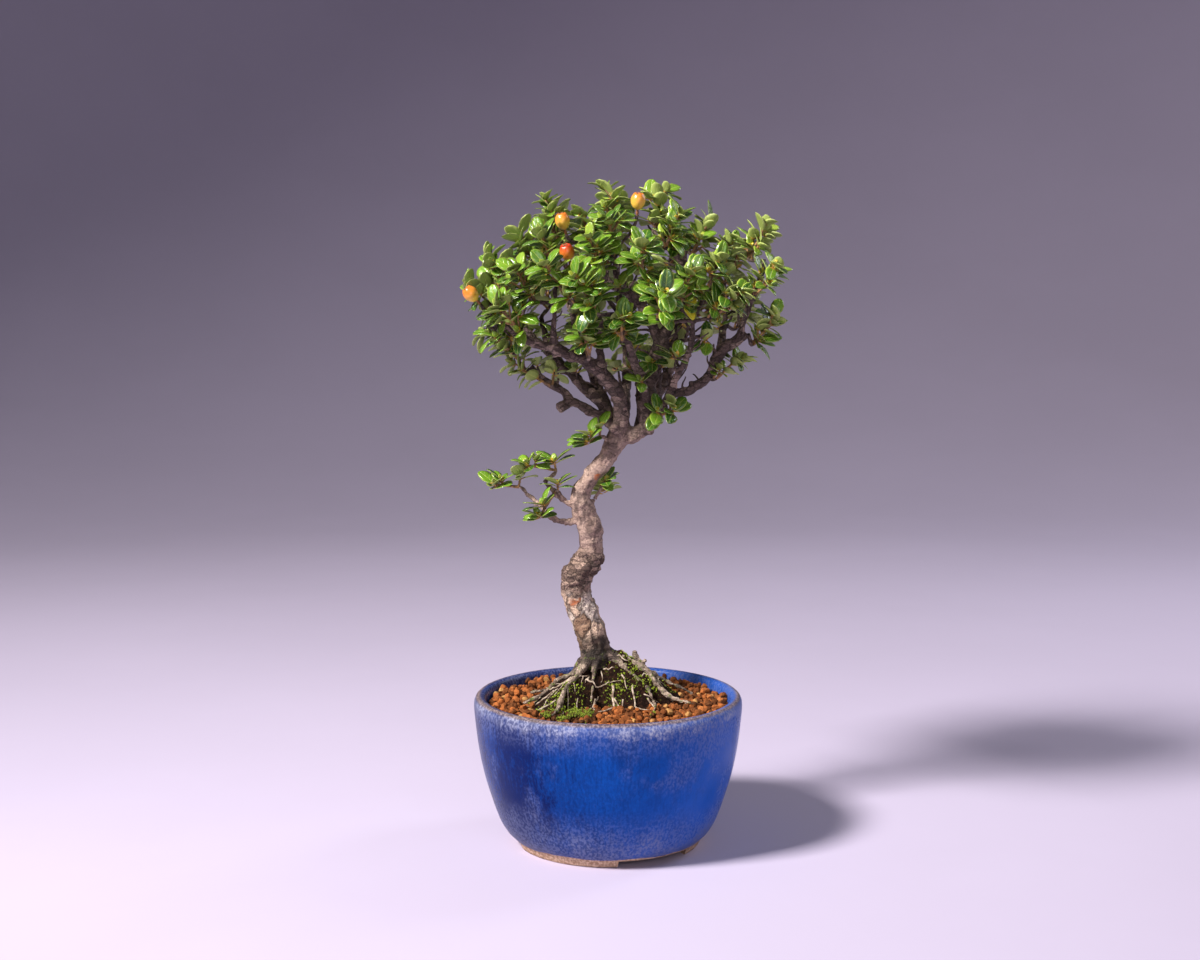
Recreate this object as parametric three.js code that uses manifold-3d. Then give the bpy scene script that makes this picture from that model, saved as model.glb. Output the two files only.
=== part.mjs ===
// Cotoneaster bonsai in a round glazed pot. Millimetres, +Z up, front towards -Y.
// Places are given from the pot's axis, and the whole is then shifted to stand centred.
import * as THREE from "three";
import { mergeVertices } from "three/addons/utils/BufferGeometryUtils.js";
import Module from "manifold-3d";

const wasm = await Module();
wasm.setup();

// Whole object
const AXIS_SHIFT = -6;
const GAP = 0.3;
const CUT_MARGIN = 1;
const CLEAR_OF_POT_Z = 72;

// Pot
const POT_SIDES = 26;
const POT_FLOOR_Z = 8;
const POT_UNDERSIDE_Z = 3;
const DRAIN_RADIUS = 5;
const FOOT_OUTER_RADIUS = 37.3;
const FOOT_INNER_RADIUS = 32.5;
const FOOT_GAP_DEGREES = 54;
const FOOT_GAP_CENTRES = [30, 150, 270];
const POT_WALL_POINTS = [
  [37.9, 3],
  [39.5, 3],
  [44.7, 10],
  [49, 22],
  [53, 38],
  [55.2, 57],
];
const POT_RIM_POINTS = [
  [55, 59.3],
  [53.7, 61.3],
  [51.9, 61.5],
];
const POT_INNER_POINTS = [
  [50.2, 58],
  [48.6, 38],
  [44, 20],
  [32, 8],
];

// Grains of the soil, as a relief on rings of 6, 12, 18 and more points
const SOIL_LEVEL = 57.3;
const SOIL_RADIUS = 49.7;
const SOIL_RINGS = 11;
const SOIL_SKIRT = [
  [43.5, 22],
  [31, 8.6],
];
const GRAIN_RISES = [0.9, 1.8];
const HOLLOW_RISES = [0, 0.4];
const GRAIN_JITTER = 0.9;

// Earth mound on the roots, two lobes round the trunk's foot
const MOUND_FOOT_Z = 50;
const MOUND_SIDES = 22;
const MOUND_RINGS = 4;
const MOUND_GAP = 0.4;
const MOUND_EDGE_RISE = 0.6;
const MOUND_LEAST_RISE = 1.4;
const MOUND_EDGE_STEEPNESS = 4;
const MOUND_REACH = [37, 27, 20, 21, 24, 33, 18, 24];
const MOUND_LOBES = [
  { x: 8, y: 2, height: 12.5, across: 17, deep: 13 },
  { x: -14, y: -9, height: 8.5, across: 12, deep: 14 },
];
const TRUNK_FOOT = new THREE.Vector3(-5, 3, 42);
const TRUNK_HOLE_RADIUS = 7.4;
const HOLE_EXTRA = 0.1;

// Trunk, each point as x, y, z and radius
const TRUNK = [
  [-5, 3, 42, 6.5],
  [-5, 3, 62, 6.5],
  [-5, 3, 76, 6.4],
  [-7, 2.5, 85.5, 6.2],
  [-9.7, 2, 93, 6.5],
  [-12.7, 1.5, 100.5, 5.6],
  [-13, 1, 108, 6.1],
  [-11.3, 0.5, 112.5, 6],
  [-8.2, 0, 117.5, 5.8],
  [-6.6, 0, 122, 4.8],
  [-7, -0.5, 127, 5],
  [-8.1, -1, 132, 5.2],
  [-9.9, -1.5, 138, 4.5],
  [-11.4, -2, 143, 3.9],
  [-10, -2, 147.5, 3.6],
  [-6.8, -2, 151.7, 3.7],
  [-3.7, -2, 155.8, 3.7],
  [-0.1, -2, 160, 3.8],
  [2.4, -2, 164.3, 4.2],
  [4.8, -2, 169, 4.4],
];

// Limbs that the photograph shows, from the fork outwards
const LIMBS = {
  bigLeft: [
    [4.4, -2, 168, 3.6], [5.2, -4, 175.5, 3.2], [4.5, -6, 182.5, 3.05], [0, -8, 191, 2.9],
    [-9, -10, 198, 2.7], [-22, -13, 204, 2.2], [-32.5, -15, 207, 1.75], [-40, -16, 212, 1.4],
    [-43, -16, 211, 1.1], [-46.7, -15, 212.3, 1], [-48, -14, 216.5, 0.9],
  ],
  bigLeftUpper: [
    [-22, -13, 204, 1.5], [-21.5, -16, 212, 1.2], [-21, -18, 221, 1.05],
  ],
  lowLeft: [
    [3.2, 0, 171, 2.85], [-1, 2, 175, 2.5], [-7, 4, 177.5, 2], [-15, 6, 181.5, 1.75],
    [-18, 7, 185.5, 1.65], [-25.7, 7, 190, 1.5], [-31.8, 7, 195.7, 1.1],
  ],
  backLeft: [
    [3.6, 1, 172, 2.85], [-1, 6, 179, 2.5], [-8.5, 12, 185.5, 2.3], [-16, 18, 193, 2.1],
    [-21, 22, 198, 1.85], [-25, 25, 204, 1.6], [-28, 27, 215, 1],
  ],
  innerLeft: [
    [-2, -9, 194, 1.7], [-3, -9, 200.5, 1.55], [-3.4, -9, 208, 1.45], [-3, -9, 213.5, 1.35],
    [-5.5, -11, 221, 1.1],
  ],
  rightArm: [
    [4.8, -2, 167.6, 3.6], [9.5, -2, 168.8, 3.3], [15.5, -2, 172, 2.9], [19.5, -2, 174, 2.5],
  ],
  centreBack: [
    [13, 2, 171, 2.4], [13.9, 6, 179, 2.2], [13, 11, 189, 2], [9.5, 15, 199, 1.7],
    [6.7, 18, 207, 1.4], [5, 19, 222, 1.2], [3, 17, 236, 1.05], [2, 12, 248, 0.9],
  ],
  centreThick: [
    [15, -1, 172.5, 3.3], [15.3, -1, 178.5, 3.4], [16.2, 0, 187, 3.3], [18, 1.5, 197, 3.3],
    [21, 3, 205, 3], [25.5, 5, 213, 2.3], [30.5, 7, 220, 1.75], [32.5, 8, 227, 1.45],
    [31, 8, 237, 1.2], [31.5, 8, 244, 1],
  ],
  centreLeftward: [
    [21, 3, 205, 2.3], [17.5, 2, 213, 2.2], [13, -1, 221, 2.1], [6, -5, 227, 2],
    [-1, -8, 230, 1.7], [-4, -8, 238, 1.3], [-6, -6, 246, 1],
  ],
  topLeftward: [
    [31, 8, 236, 1.2], [25, 6, 243, 1.1], [17, 4, 250, 0.9],
  ],
  bigRight: [
    [18.5, -2, 173.5, 2.4], [20.5, -2, 176.5, 1.75], [22.4, -3, 181, 1.5], [26, -4, 185, 1.7],
    [31.5, -5, 186.3, 1.85], [36.6, -6, 189, 1.95], [40.6, -7, 193, 2], [44.5, -9, 201.8, 2.2],
    [48.5, -9, 205, 2.3], [52.5, -9, 207.3, 1.9], [55.5, -8.5, 208.8, 1.1],
  ],
  rightUpright: [
    [51.5, -9, 207, 1.6], [54, -9, 214, 1.35], [57, -8, 223, 1.15], [60, -7, 230, 1],
    [62.5, -6, 238, 0.9],
  ],
  rightCrossing: [
    [22, 3, 203, 1.3], [30, 7, 206, 1], [40, 12, 208.5, 0.95], [48.5, 15, 212, 0.85],
  ],
  paleTwig: [
    [24.5, -4, 184.5, 1.1], [25.3, -2.5, 188, 1], [25, -2, 195, 0.9], [29.5, -4, 202.5, 0.75],
  ],
  innerRight: [
    [19, 1, 174, 2.2], [19.9, 4, 182, 2], [20.3, 6, 191, 1.8], [20.7, 6, 199, 1.6],
    [24, 11, 210, 1.3], [26, 14, 222, 1.1],
  ],
};

// Limbs on the sides that the photograph doesn't show
const HIDDEN_LIMBS = {
  backLeftFar: [
    [3, 2, 171, 2.5], [-2, 11, 182, 2.3], [-8, 21, 196, 1.9], [-13, 30, 209, 1.4],
    [-16, 34, 221, 1],
  ],
  backCentre: [
    [6, 2, 171.5, 2.6], [7, 13, 184, 2.4], [8, 25, 199, 1.9], [8, 34, 214, 1.4],
    [7, 38, 227, 1],
  ],
  backRight: [
    [15, 1, 174, 2.4], [22, 12, 187, 2.2], [29, 22, 201, 1.7], [34, 29, 214, 1.3],
    [37, 31, 224, 0.95],
  ],
  frontCentre: [
    [15.5, -1, 181, 2], [12, -12, 194, 1.8], [7, -21, 207, 1.4], [4, -27, 217, 1.05],
  ],
  frontRight: [
    [22.4, -3, 181, 1.5], [27, -13, 192, 1.5], [32, -20, 204, 1.2], [33, -23, 214, 0.95],
  ],
  sideRight: [
    [40.6, -7, 193, 1.7], [45, 4, 202, 1.5], [48, 14, 213, 1.2], [49, 19, 224, 0.95],
  ],
  sideLeft: [
    [-16, 18, 193, 1.7], [-25, 20, 201, 1.4], [-34, 19, 211, 1.2], [-39, 17, 222, 0.9],
  ],
};

// Low twigs on the trunk and at the fork
const LOW_TWIGS = {
  lowBranch: [
    [-9, -1.5, 134, 1.7], [-13.5, -2, 133.2, 1.3], [-19, -3, 133.2, 1.2], [-22.4, -3, 134.5, 1.1],
    [-25.6, -2, 137.6, 1], [-30, 1, 141.5, 0.9], [-34, 3, 144, 0.8],
  ],
  lowBranchUpper: [
    [-11, -2, 139, 1.4], [-16, -2, 140.5, 1.2], [-21.5, -1, 145, 1.1], [-25.8, 0, 148.8, 0.95],
  ],
  trunkRightTwig: [
    [-8, -1.5, 139.5, 1.2], [-5.4, 1, 142, 0.9],
  ],
  forkLeftTwig: [
    [2.5, -3, 166.5, 1.3], [-1, -4.5, 165.8, 0.9],
  ],
  forkRightTwig: [
    [14, -3, 171, 1.3], [18, -5.5, 173.5, 0.9],
  ],
};

// Knots and cut stubs
const STUBS = {
  stubAtFork: [
    [5, -4, 168, 2.4], [2.5, -6.5, 170.5, 2.2], [1.2, -8, 172.8, 2],
  ],
  stubLowLeft: [
    [-15, 6, 181.5, 2], [-18.5, 4, 179.8, 2.3], [-20.5, 3, 178.8, 1.9],
  ],
  stubUnderArm: [
    [9.5, -3, 168.5, 2.6], [11, -4.5, 166, 2.3],
  ],
  knotRight: [
    [-7, 0, 118, 3], [-2.6, -1.5, 117.5, 2.2],
  ],
  knotLeft: [
    [-11, 0.5, 108, 4], [-16.5, -1, 108.6, 3.2],
  ],
  stubBackLow: [
    [-9, 2, 96, 3], [-8, 8.5, 98.5, 2.2],
  ],
};

// Surface roots, each point as x, y and radius, laid over the mound
const ROOT_START_Z = 78;
const ROOT_CLEARANCE = 1.05;
const ROOT_OVER_SOIL = 1.5;
const ROOTS = {
  bigLeft: [[-6, 2, 2.8], [-13, 1, 2.2], [-20, -3, 1.6], [-27, -9, 1.1], [-34, -14, 0.6]],
  frontLeft: [[-6, 0, 2.4], [-12, -8, 1.7], [-17, -16, 1.4], [-20, -24, 1.1], [-22, -34, 0.6]],
  frontShort: [[-4, 0, 2.2], [-6, -8, 1.3], [-7, -19, 0.6]],
  bigRight: [[-2, 3, 3.2], [7, 0, 2.6], [16, -2, 2.2], [23, -6, 1.7], [29, -10, 1.1], [35, -15, 0.6]],
  frontRight: [[-1, 2, 2.4], [8, -4, 1.5], [16, -8, 1.2], [19, -19, 0.6]],
  left: [[-7, 3, 2.6], [-16, 7, 1.8], [-23, 7, 1.2], [-32, 5, 0.6]],
  backLeft: [[-6, 5, 2.6], [-13, 14, 1.6], [-20, 25, 0.7]],
  back: [[-4, 5, 2.4], [-2, 15, 1.5], [1, 26, 0.7]],
  backRight: [[-2, 5, 2.6], [8, 13, 1.8], [20, 24, 0.7]],
  shoulder: [[-1, 4, 2.4], [10, 7, 1.6], [21, 7, 1.1], [35, 3, 0.6]],
};

// Sprays of leaves: centre of each, from the pot's axis
const CANOPY_CENTRE = new THREE.Vector3(5, 0, 196);
const EDGE_SPRAYS = {
  rightTip: [59, -5, 245], rightHigh: [62, -15, 230], rightReach: [62, -7, 210],
  rightCrown: [37, 9, 247], crownTop: [19, 1, 258], crownLeft: [2, 2, 259],
  leftTop: [-22, -2, 254], leftCrown: [-33, 5, 243], leftShoulder: [-44, -3, 232],
  leftTip: [-48, -7, 222], leftEdge: [-43, -11, 206], frontHigh: [-5, -29, 238],
  frontMiddle: [-8, -38, 224], frontRight: [20, -38, 221],
};
const FRONT_SPRAYS = {
  rightFront: [47, -25, 222], rightUpper: [41, -17, 233], rightShoulder: [46, 2, 240],
  rightLow: [48, -8, 196], centreRight: [30, -28, 228], crownRight: [25, -10, 250],
  crownFront: [1, -20, 248], crownInner: [-9, -7, 250], frontRightHigh: [13, -31, 237],
  frontLow: [5, -34, 212], innerLeft: [-9, -23, 207], leftUpper: [-24, -20, 242],
  leftFront: [-33, -23, 229], leftMiddle: [-20, -34, 230], leftGlossy: [-38, -25, 215],
  leftLow: [-38, 7, 200], leftLowest: [-29, 6, 191],
};
const BACK_SPRAYS = {
  backLeftHigh: [-20, 22, 250], backTop: [4, 26, 256], backRightHigh: [27, 26, 247],
  backRightSide: [52, 22, 236], backLeftSide: [-44, 19, 228], backLeft: [-27, 38, 228],
  backCentre: [-3, 44, 236], backMiddle: [20, 43, 230], backRight: [41, 34, 222],
  backRightEdge: [57, 26, 218], backLeftLow: [-36, 32, 208], backLow: [-10, 43, 212],
  backLowRight: [25, 38, 206],
};
const LOW_SPRAYS = {
  lowOuter: [-42, 5, 147], lowMiddle: [-25, -5, 140], lowUpper: [-28, 0, 155],
};
const SMALL_SPRAYS = {
  trunkRight: [-2, 4, 146], forkLeft: [-6, -6, 167], forkRight: [24, -8, 178],
};
const BERRIES = {
  berryLeft: [-54, -17, 225], berryUpper: [-18, -14, 253.5], berryTop: [11.5, -19, 261],
  berryFront: [-16, -27, 241], berryBack: [12, 34, 249],
};

// Shoots, leaves and berries
const SEED = 20417;
const TWIG_TIP_RADIUS = 0.6;
const TWIG_SPREAD = 0.03;
const TWIG_LEAST = 4;
const TIP_FAVOUR = 0.75;
const TURN_COST = 0.5;
const TWIG_TAPER = 0.85;
const TWIG_MORE_RADIUS = 0.15;
const LEAVE_FORWARD = 0.12;
const LEAVE_TOWARDS = 0.18;
const ARRIVE_STRAIGHT = 0.35;
const SHOOT_LENGTH = 11;
const SHOOT_RADIUS = 0.85;
const SHOOT_TAPER = 0.75;
const SHOOT_GAP = 0.6;
const SHOOT_BACK = 0.6;
const OUTWARD_PULL = 0.75;
const UPWARD_PULL = 0.6;
const HEADING_JITTER = 0.25;
const UPWARD_JITTER = 0.15;
const LEAFY_SHARE = 0.72;
const LEAF_MIN_LENGTH = 7.6;
const LEAF_LENGTH_RANGE = 1.8;
const LEAF_WIDTH_RATIO = 0.62;
const LEAF_THICKNESS = 0.6;
const LEAF_STATIONS = [[0, 0], [0.36, 0.95], [0.74, 0.8], [1, 0]];
const LEAF_ARCH = 0.14;
const LEAF_TOP_TILT = 0.6;
const LEAF_TILT_RANGE = 0.75;
const LEAF_LIFT = 0.2;
const LEAF_TURN_JITTER = 0.3;
const LEAF_MARGIN = 0.7;
const LEAF_CLEARANCE = 1.15;
const GOLDEN_ANGLE = 2.39996;
const LEAF_TRIES = 10;
const TRY_SWING = 0.28;
const TRY_TILT = 0.04;
const TRY_SHRINK = 0.02;
const LEAF_NEAR = 12;
const YOUNG_ABOVE_Z = 240;
const BERRY_RADIUS = 3.3;
const BERRY_SIDES = 7;
const BERRY_PROFILE = [[0, -0.95], [0.62, -0.78], [1, -0.1], [0.8, 0.62], [0.3, 0.95], [0, 0.78]];
const BERRY_UPWARD = 0.5;
const STALK_LENGTH = 2;
const STALK_RADIUS = 0.6;
const SIDES_BY_RADIUS = [[4, 8], [2.9, 5], [0, 4]];
const TWIG_SIDES = 3;

// Colours
const GLAZE = finish(0x1d4aa0, 0.25);
const SOIL = finish(0xa4552f, 0.95);
const EARTH = finish(0x33291d, 0.95);
const BARK = finish(0x75604f, 0.85);
const LEAF = finish(0x4f9a2c, 0.45);
const YOUNG_LEAF = finish(0x86b83a, 0.45);
const BERRY = finish(0xe8862e, 0.35);

function finish(color, roughness) {
  return new THREE.MeshStandardMaterial({ color, roughness, metalness: 0 });
}

// A repeatable stream of numbers from 0 to 1
function stream(seed) {
  let state = seed;
  return () => {
    state = (state * 1664525 + 1013904223) % 4294967296;
    return state / 4294967296;
  };
}

function between(random, low, high) {
  return low + (high - low) * random();
}

// Closed geometry to solid, without the faces that a collapsed edge leaves
function solid(geometry) {
  const bare = geometry.clone();
  bare.deleteAttribute("normal");
  bare.deleteAttribute("uv");
  const merged = mergeVertices(bare, 1e-4);
  const corners = merged.index.array;
  const kept = [];
  for (let i = 0; i < corners.length; i += 3) {
    const [a, b, c] = corners.slice(i, i + 3);
    if (a !== b && b !== c && c !== a) {
      kept.push(a, b, c);
    }
  }
  const triVerts = Uint32Array.from(kept);
  const vertProperties = Float32Array.from(merged.attributes.position.array);
  return new wasm.Manifold(new wasm.Mesh({ numProp: 3, vertProperties, triVerts }));
}

// Balanced union of a list of solids
function fuse(parts) {
  let row = parts;
  while (row.length > 1) {
    const next = [];
    for (let i = 0; i < row.length; i += 2) {
      next.push(i + 1 < row.length ? row[i].add(row[i + 1]) : row[i]);
    }
    row = next;
  }
  return row[0];
}

// The largest body of a solid, so that no loose scrap stays
function largestBody(whole) {
  const bodies = whole.decompose();
  return bodies.reduce((best, body) => (body.volume() > best.volume() ? body : best));
}

// Named mesh of a solid
function piece(name, shape, material) {
  const { vertProperties, triVerts } = shape.getMesh();
  const geometry = new THREE.BufferGeometry();
  geometry.setAttribute("position", new THREE.BufferAttribute(vertProperties, 3));
  geometry.setIndex(new THREE.BufferAttribute(triVerts, 1));
  geometry.computeVertexNormals();
  const mesh = new THREE.Mesh(geometry, material);
  mesh.name = name;
  return mesh;
}

// Smooth line through points given as x, y, z and radius
function limbCurve(points) {
  const places = points.map(([x, y, z]) => new THREE.Vector3(x, y, z));
  return new THREE.CatmullRomCurve3(places, false, "catmullrom", 0.5);
}

// Radius at a place along a limb, from 0 at its first point to 1 at its last
function limbRadius(points, along) {
  const place = along * (points.length - 1);
  const index = Math.min(Math.floor(place), points.length - 2);
  const share = place - index;
  return points[index][3] * (1 - share) + points[index + 1][3] * share;
}

// Tapering round limb: a cylinder whose rings are moved onto the limb's line, and which
// ends square to its heading where it has one
function limbSolid({ points, heading }, sides) {
  const rows = points.length - 1;
  const curve = limbCurve(points);
  const geometry = new THREE.CylinderGeometry(1, 1, 1, sides, rows);
  const rings = [];
  let side = new THREE.Vector3(0.31, 0.93, 0.2);
  for (let row = 0; row <= rows; row += 1) {
    const along = row / rows;
    const tangent = row === rows && heading ? heading : curve.getTangent(along);
    side = side.clone().addScaledVector(tangent, -side.dot(tangent)).normalize();
    rings.push({
      centre: curve.getPoint(along),
      radius: limbRadius(points, along),
      side,
      across: side.clone().cross(tangent),
    });
  }
  const position = geometry.attributes.position;
  for (let i = 0; i < position.count; i += 1) {
    const ring = rings[Math.round((position.getY(i) + 0.5) * rows)];
    const place = ring.centre.clone();
    place.addScaledVector(ring.side, position.getX(i) * ring.radius);
    place.addScaledVector(ring.across, position.getZ(i) * ring.radius);
    position.setXYZ(i, place.x, place.y, place.z);
  }
  return solid(geometry);
}

// Straight round bar along Z
function uprightBar(x, y, radius, bottom, top, sides) {
  const geometry = new THREE.CylinderGeometry(radius, radius, top - bottom, sides);
  geometry.rotateX(Math.PI / 2);
  geometry.translate(x, y, (bottom + top) / 2);
  return solid(geometry);
}

// Solid of revolution about Z from radius and height pairs that close on themselves
function turned(pairs, sides) {
  const profile = pairs.map(([radius, height]) => new THREE.Vector2(radius, height));
  profile.push(profile[0]);
  const geometry = new THREE.LatheGeometry(profile, sides);
  geometry.rotateX(Math.PI / 2);
  return geometry;
}

// Wedge that cuts a gap in the foot ring, turned about the axis from the front
function footGap(degrees) {
  const half = (FOOT_GAP_DEGREES * Math.PI) / 360;
  const centre = ((degrees - 90) * Math.PI) / 180;
  const reach = FOOT_OUTER_RADIUS + 5 * CUT_MARGIN;
  const sector = new THREE.Shape();
  sector.moveTo(0, 0);
  sector.absarc(0, 0, reach, centre - half, centre + half, false);
  sector.closePath();
  const wedge = new THREE.ExtrudeGeometry(sector, {
    depth: POT_UNDERSIDE_Z + CUT_MARGIN,
    bevelEnabled: false,
    curveSegments: 4,
  });
  wedge.translate(0, 0, -CUT_MARGIN);
  return solid(wedge);
}

function pot() {
  const profile = [
    [FOOT_OUTER_RADIUS, 0],
    ...POT_WALL_POINTS,
    ...POT_RIM_POINTS,
    ...POT_INNER_POINTS,
    [DRAIN_RADIUS, POT_FLOOR_Z],
    [DRAIN_RADIUS, POT_UNDERSIDE_Z],
    [FOOT_INNER_RADIUS, POT_UNDERSIDE_Z],
    [FOOT_INNER_RADIUS, 0],
  ];
  let body = solid(turned(profile, POT_SIDES));
  for (const degrees of FOOT_GAP_CENTRES) {
    body = body.subtract(footGap(degrees));
  }
  return piece("pot", body, GLAZE);
}

// Reach of the mound from the trunk's foot, all round by a closed smooth line
const moundReachLine = new THREE.CatmullRomCurve3(
  MOUND_REACH.map((reach) => new THREE.Vector3(reach, 0, 0)),
  true,
  "catmullrom",
  0.5,
);

function moundReach(angle) {
  const turn = angle / (2 * Math.PI);
  return moundReachLine.getPoint(turn - Math.floor(turn)).x;
}

function moundHeight(x, y) {
  let height = MOUND_LEAST_RISE - MOUND_EDGE_RISE;
  for (const lobe of MOUND_LOBES) {
    const across = (x - lobe.x) / lobe.across;
    const deep = (y - lobe.y) / lobe.deep;
    height += lobe.height * Math.exp(-across * across - deep * deep);
  }
  const angle = Math.atan2(y - TRUNK_FOOT.y, x - TRUNK_FOOT.x);
  const share = Math.hypot(x - TRUNK_FOOT.x, y - TRUNK_FOOT.y) / moundReach(angle);
  const edge = Math.min(1, Math.max(0, (1 - share) * MOUND_EDGE_STEEPNESS));
  return SOIL_LEVEL + MOUND_EDGE_RISE + height * edge;
}

// Earth round the trunk: a turned ring whose rows are moved to the mound's outline
function moundBody(grown, footZ, topZ) {
  const rows = [[0, 0], [1, 0]];
  for (let ring = MOUND_RINGS; ring >= 0; ring -= 1) {
    rows.push([ring / MOUND_RINGS, 1]);
  }
  const geometry = turned(rows.map(([share, level]) => [share + 1, level]), MOUND_SIDES);
  const position = geometry.attributes.position;
  for (let i = 0; i < position.count; i += 1) {
    const angle = Math.atan2(position.getY(i), position.getX(i));
    const share = Math.hypot(position.getX(i), position.getY(i)) - 1;
    const outer = moundReach(angle) + grown;
    const radius = TRUNK_HOLE_RADIUS + (outer - TRUNK_HOLE_RADIUS) * share;
    const x = TRUNK_FOOT.x + radius * Math.cos(angle);
    const y = TRUNK_FOOT.y + radius * Math.sin(angle);
    const level = position.getZ(i) > 0.5 ? 1 : 0;
    const top = topZ === undefined ? moundHeight(x, y) : topZ;
    position.setXYZ(i, x, y, level === 1 ? top : footZ);
  }
  return solid(geometry);
}

// Points of the soil's relief: the middle, then rings of 6, 12, 18 and more
function soilPoints(random) {
  const points = [new THREE.Vector3(0, 0, SOIL_LEVEL)];
  for (let ring = 1; ring <= SOIL_RINGS; ring += 1) {
    for (let step = 0; step < 6 * ring; step += 1) {
      const within = step % ring;
      const atWall = ring === SOIL_RINGS;
      const grain = (ring + within) % 3 === 0;
      const jitter = atWall ? 0 : GRAIN_JITTER;
      const radius = (SOIL_RADIUS * ring) / SOIL_RINGS + jitter * (random() - 0.5);
      const angle = (2 * Math.PI * (step + (jitter * (random() - 0.5)) / 3)) / (6 * ring);
      const rise = between(random, ...(grain ? GRAIN_RISES : HOLLOW_RISES));
      const lift = atWall ? 0 : rise;
      points.push(
        new THREE.Vector3(radius * Math.cos(angle), radius * Math.sin(angle), SOIL_LEVEL + lift),
      );
    }
  }
  return points;
}

// First point of a ring of the relief
function ringStart(ring) {
  return ring === 0 ? 0 : 1 + 3 * ring * (ring - 1);
}

// Point of a ring by its step, counted round and round
function ringPoint(ring, step) {
  return ring === 0 ? 0 : ringStart(ring) + (((step % (6 * ring)) + 6 * ring) % (6 * ring));
}

// Triangles between one ring of the relief and the next
function ringTriangles(ring) {
  const triangles = [];
  for (let sixth = 0; sixth < 6; sixth += 1) {
    for (let step = 0; step < ring; step += 1) {
      const outer = sixth * ring + step;
      const inner = sixth * (ring - 1) + step;
      triangles.push(ringPoint(ring, outer), ringPoint(ring, outer + 1), ringPoint(ring - 1, inner));
      if (step < ring - 1) {
        triangles.push(
          ringPoint(ring, outer + 1),
          ringPoint(ring - 1, inner + 1),
          ringPoint(ring - 1, inner),
        );
      }
    }
  }
  return triangles;
}

// Soil: the relief on top, a skirt that follows the inside of the pot, and a flat base
function soilBody() {
  const points = soilPoints(stream(SEED));
  const triangles = [];
  for (let ring = 1; ring <= SOIL_RINGS; ring += 1) {
    triangles.push(...ringTriangles(ring));
  }
  const around = 6 * SOIL_RINGS;
  let above = ringStart(SOIL_RINGS);
  for (const [radius, height] of SOIL_SKIRT) {
    const below = points.length;
    for (let step = 0; step < around; step += 1) {
      const angle = (2 * Math.PI * step) / around;
      points.push(new THREE.Vector3(radius * Math.cos(angle), radius * Math.sin(angle), height));
    }
    for (let step = 0; step < around; step += 1) {
      const next = (step + 1) % around;
      triangles.push(above + step, below + step, above + next);
      triangles.push(above + next, below + step, below + next);
    }
    above = below;
  }
  const base = points.length;
  points.push(new THREE.Vector3(0, 0, SOIL_SKIRT[SOIL_SKIRT.length - 1][1]));
  for (let step = 0; step < around; step += 1) {
    triangles.push(base, above + ((step + 1) % around), above + step);
  }
  const geometry = new THREE.BufferGeometry().setFromPoints(points);
  geometry.setIndex(triangles);
  return solid(geometry);
}

function soil() {
  const recess = moundBody(MOUND_GAP, MOUND_FOOT_Z - GAP, CLEAR_OF_POT_Z);
  const { x, y, z } = TRUNK_FOOT;
  const wide = TRUNK_HOLE_RADIUS + HOLE_EXTRA;
  const hole = uprightBar(x, y, wide, z - GAP, CLEAR_OF_POT_Z, MOUND_SIDES);
  const body = soilBody().subtract(recess.add(hole));
  return piece("akadama_soil", largestBody(body), SOIL);
}

function mound() {
  return piece("root_mound", moundBody(0, MOUND_FOOT_Z), EARTH);
}

// Height of the ground under a surface root
function groundHeight(x, y) {
  const angle = Math.atan2(y - TRUNK_FOOT.y, x - TRUNK_FOOT.x);
  const away = Math.hypot(x - TRUNK_FOOT.x, y - TRUNK_FOOT.y);
  const onMound = away < moundReach(angle);
  return onMound ? moundHeight(x, y) : SOIL_LEVEL + ROOT_OVER_SOIL;
}

// Surface root: from inside the trunk, over the mound and down to the soil
function rootLine(plan) {
  const points = plan.map(([x, y, radius], index) => {
    const z = index === 0 ? ROOT_START_Z : groundHeight(x, y) + radius + ROOT_CLEARANCE;
    return [x, y, z, radius];
  });
  return { points };
}

function rootLines() {
  return Object.values(ROOTS).map(rootLine);
}

// Places along a limb where a twig may leave, with their direction and radius
function stationsOf(limb) {
  const { points } = limb;
  const curve = limbCurve(points);
  const count = 3 * (points.length - 1);
  const stations = [];
  for (let i = 1; i <= count; i += 1) {
    const along = i / count;
    stations.push({
      place: curve.getPoint(along),
      forward: curve.getTangent(along),
      radius: limbRadius(points, along),
      tipOf: i === count ? limb : null,
    });
  }
  return stations;
}

// The station that a twig to a given place grows from most naturally
function bestStation(stations, target) {
  let best = null;
  let lowest = Infinity;
  for (const station of stations) {
    const way = target.clone().sub(station.place);
    const distance = way.length();
    const along = way.dot(station.forward) / Math.max(distance, 1e-6);
    const turned = 1 + TURN_COST * (1 - along);
    const cost = distance * turned * (station.tipOf ? TIP_FAVOUR : 1);
    if (distance > TWIG_LEAST && cost < lowest) {
      lowest = cost;
      best = station;
    }
  }
  return best;
}

// Twig from a limb to the foot of a shoot, as a gently bent line
function makeTwig(station, foot, heading) {
  const distance = foot.distanceTo(station.place);
  const way = foot.clone().sub(station.place);
  const leave = station.place.clone().addScaledVector(station.forward, distance * LEAVE_FORWARD);
  leave.addScaledVector(way, LEAVE_TOWARDS);
  const arrive = foot.clone().addScaledVector(heading, -distance * ARRIVE_STRAIGHT);
  const curve = new THREE.CubicBezierCurve3(station.place, leave, arrive, foot);
  const widest = TWIG_TIP_RADIUS + TWIG_MORE_RADIUS + distance * TWIG_SPREAD;
  const wide = Math.min(station.radius * TWIG_TAPER, widest);
  const points = [0, 0.5, 1].map((share) => {
    return [...curve.getPoint(share).toArray(), wide + (TWIG_TIP_RADIUS - wide) * share];
  });
  return { points, heading };
}

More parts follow.
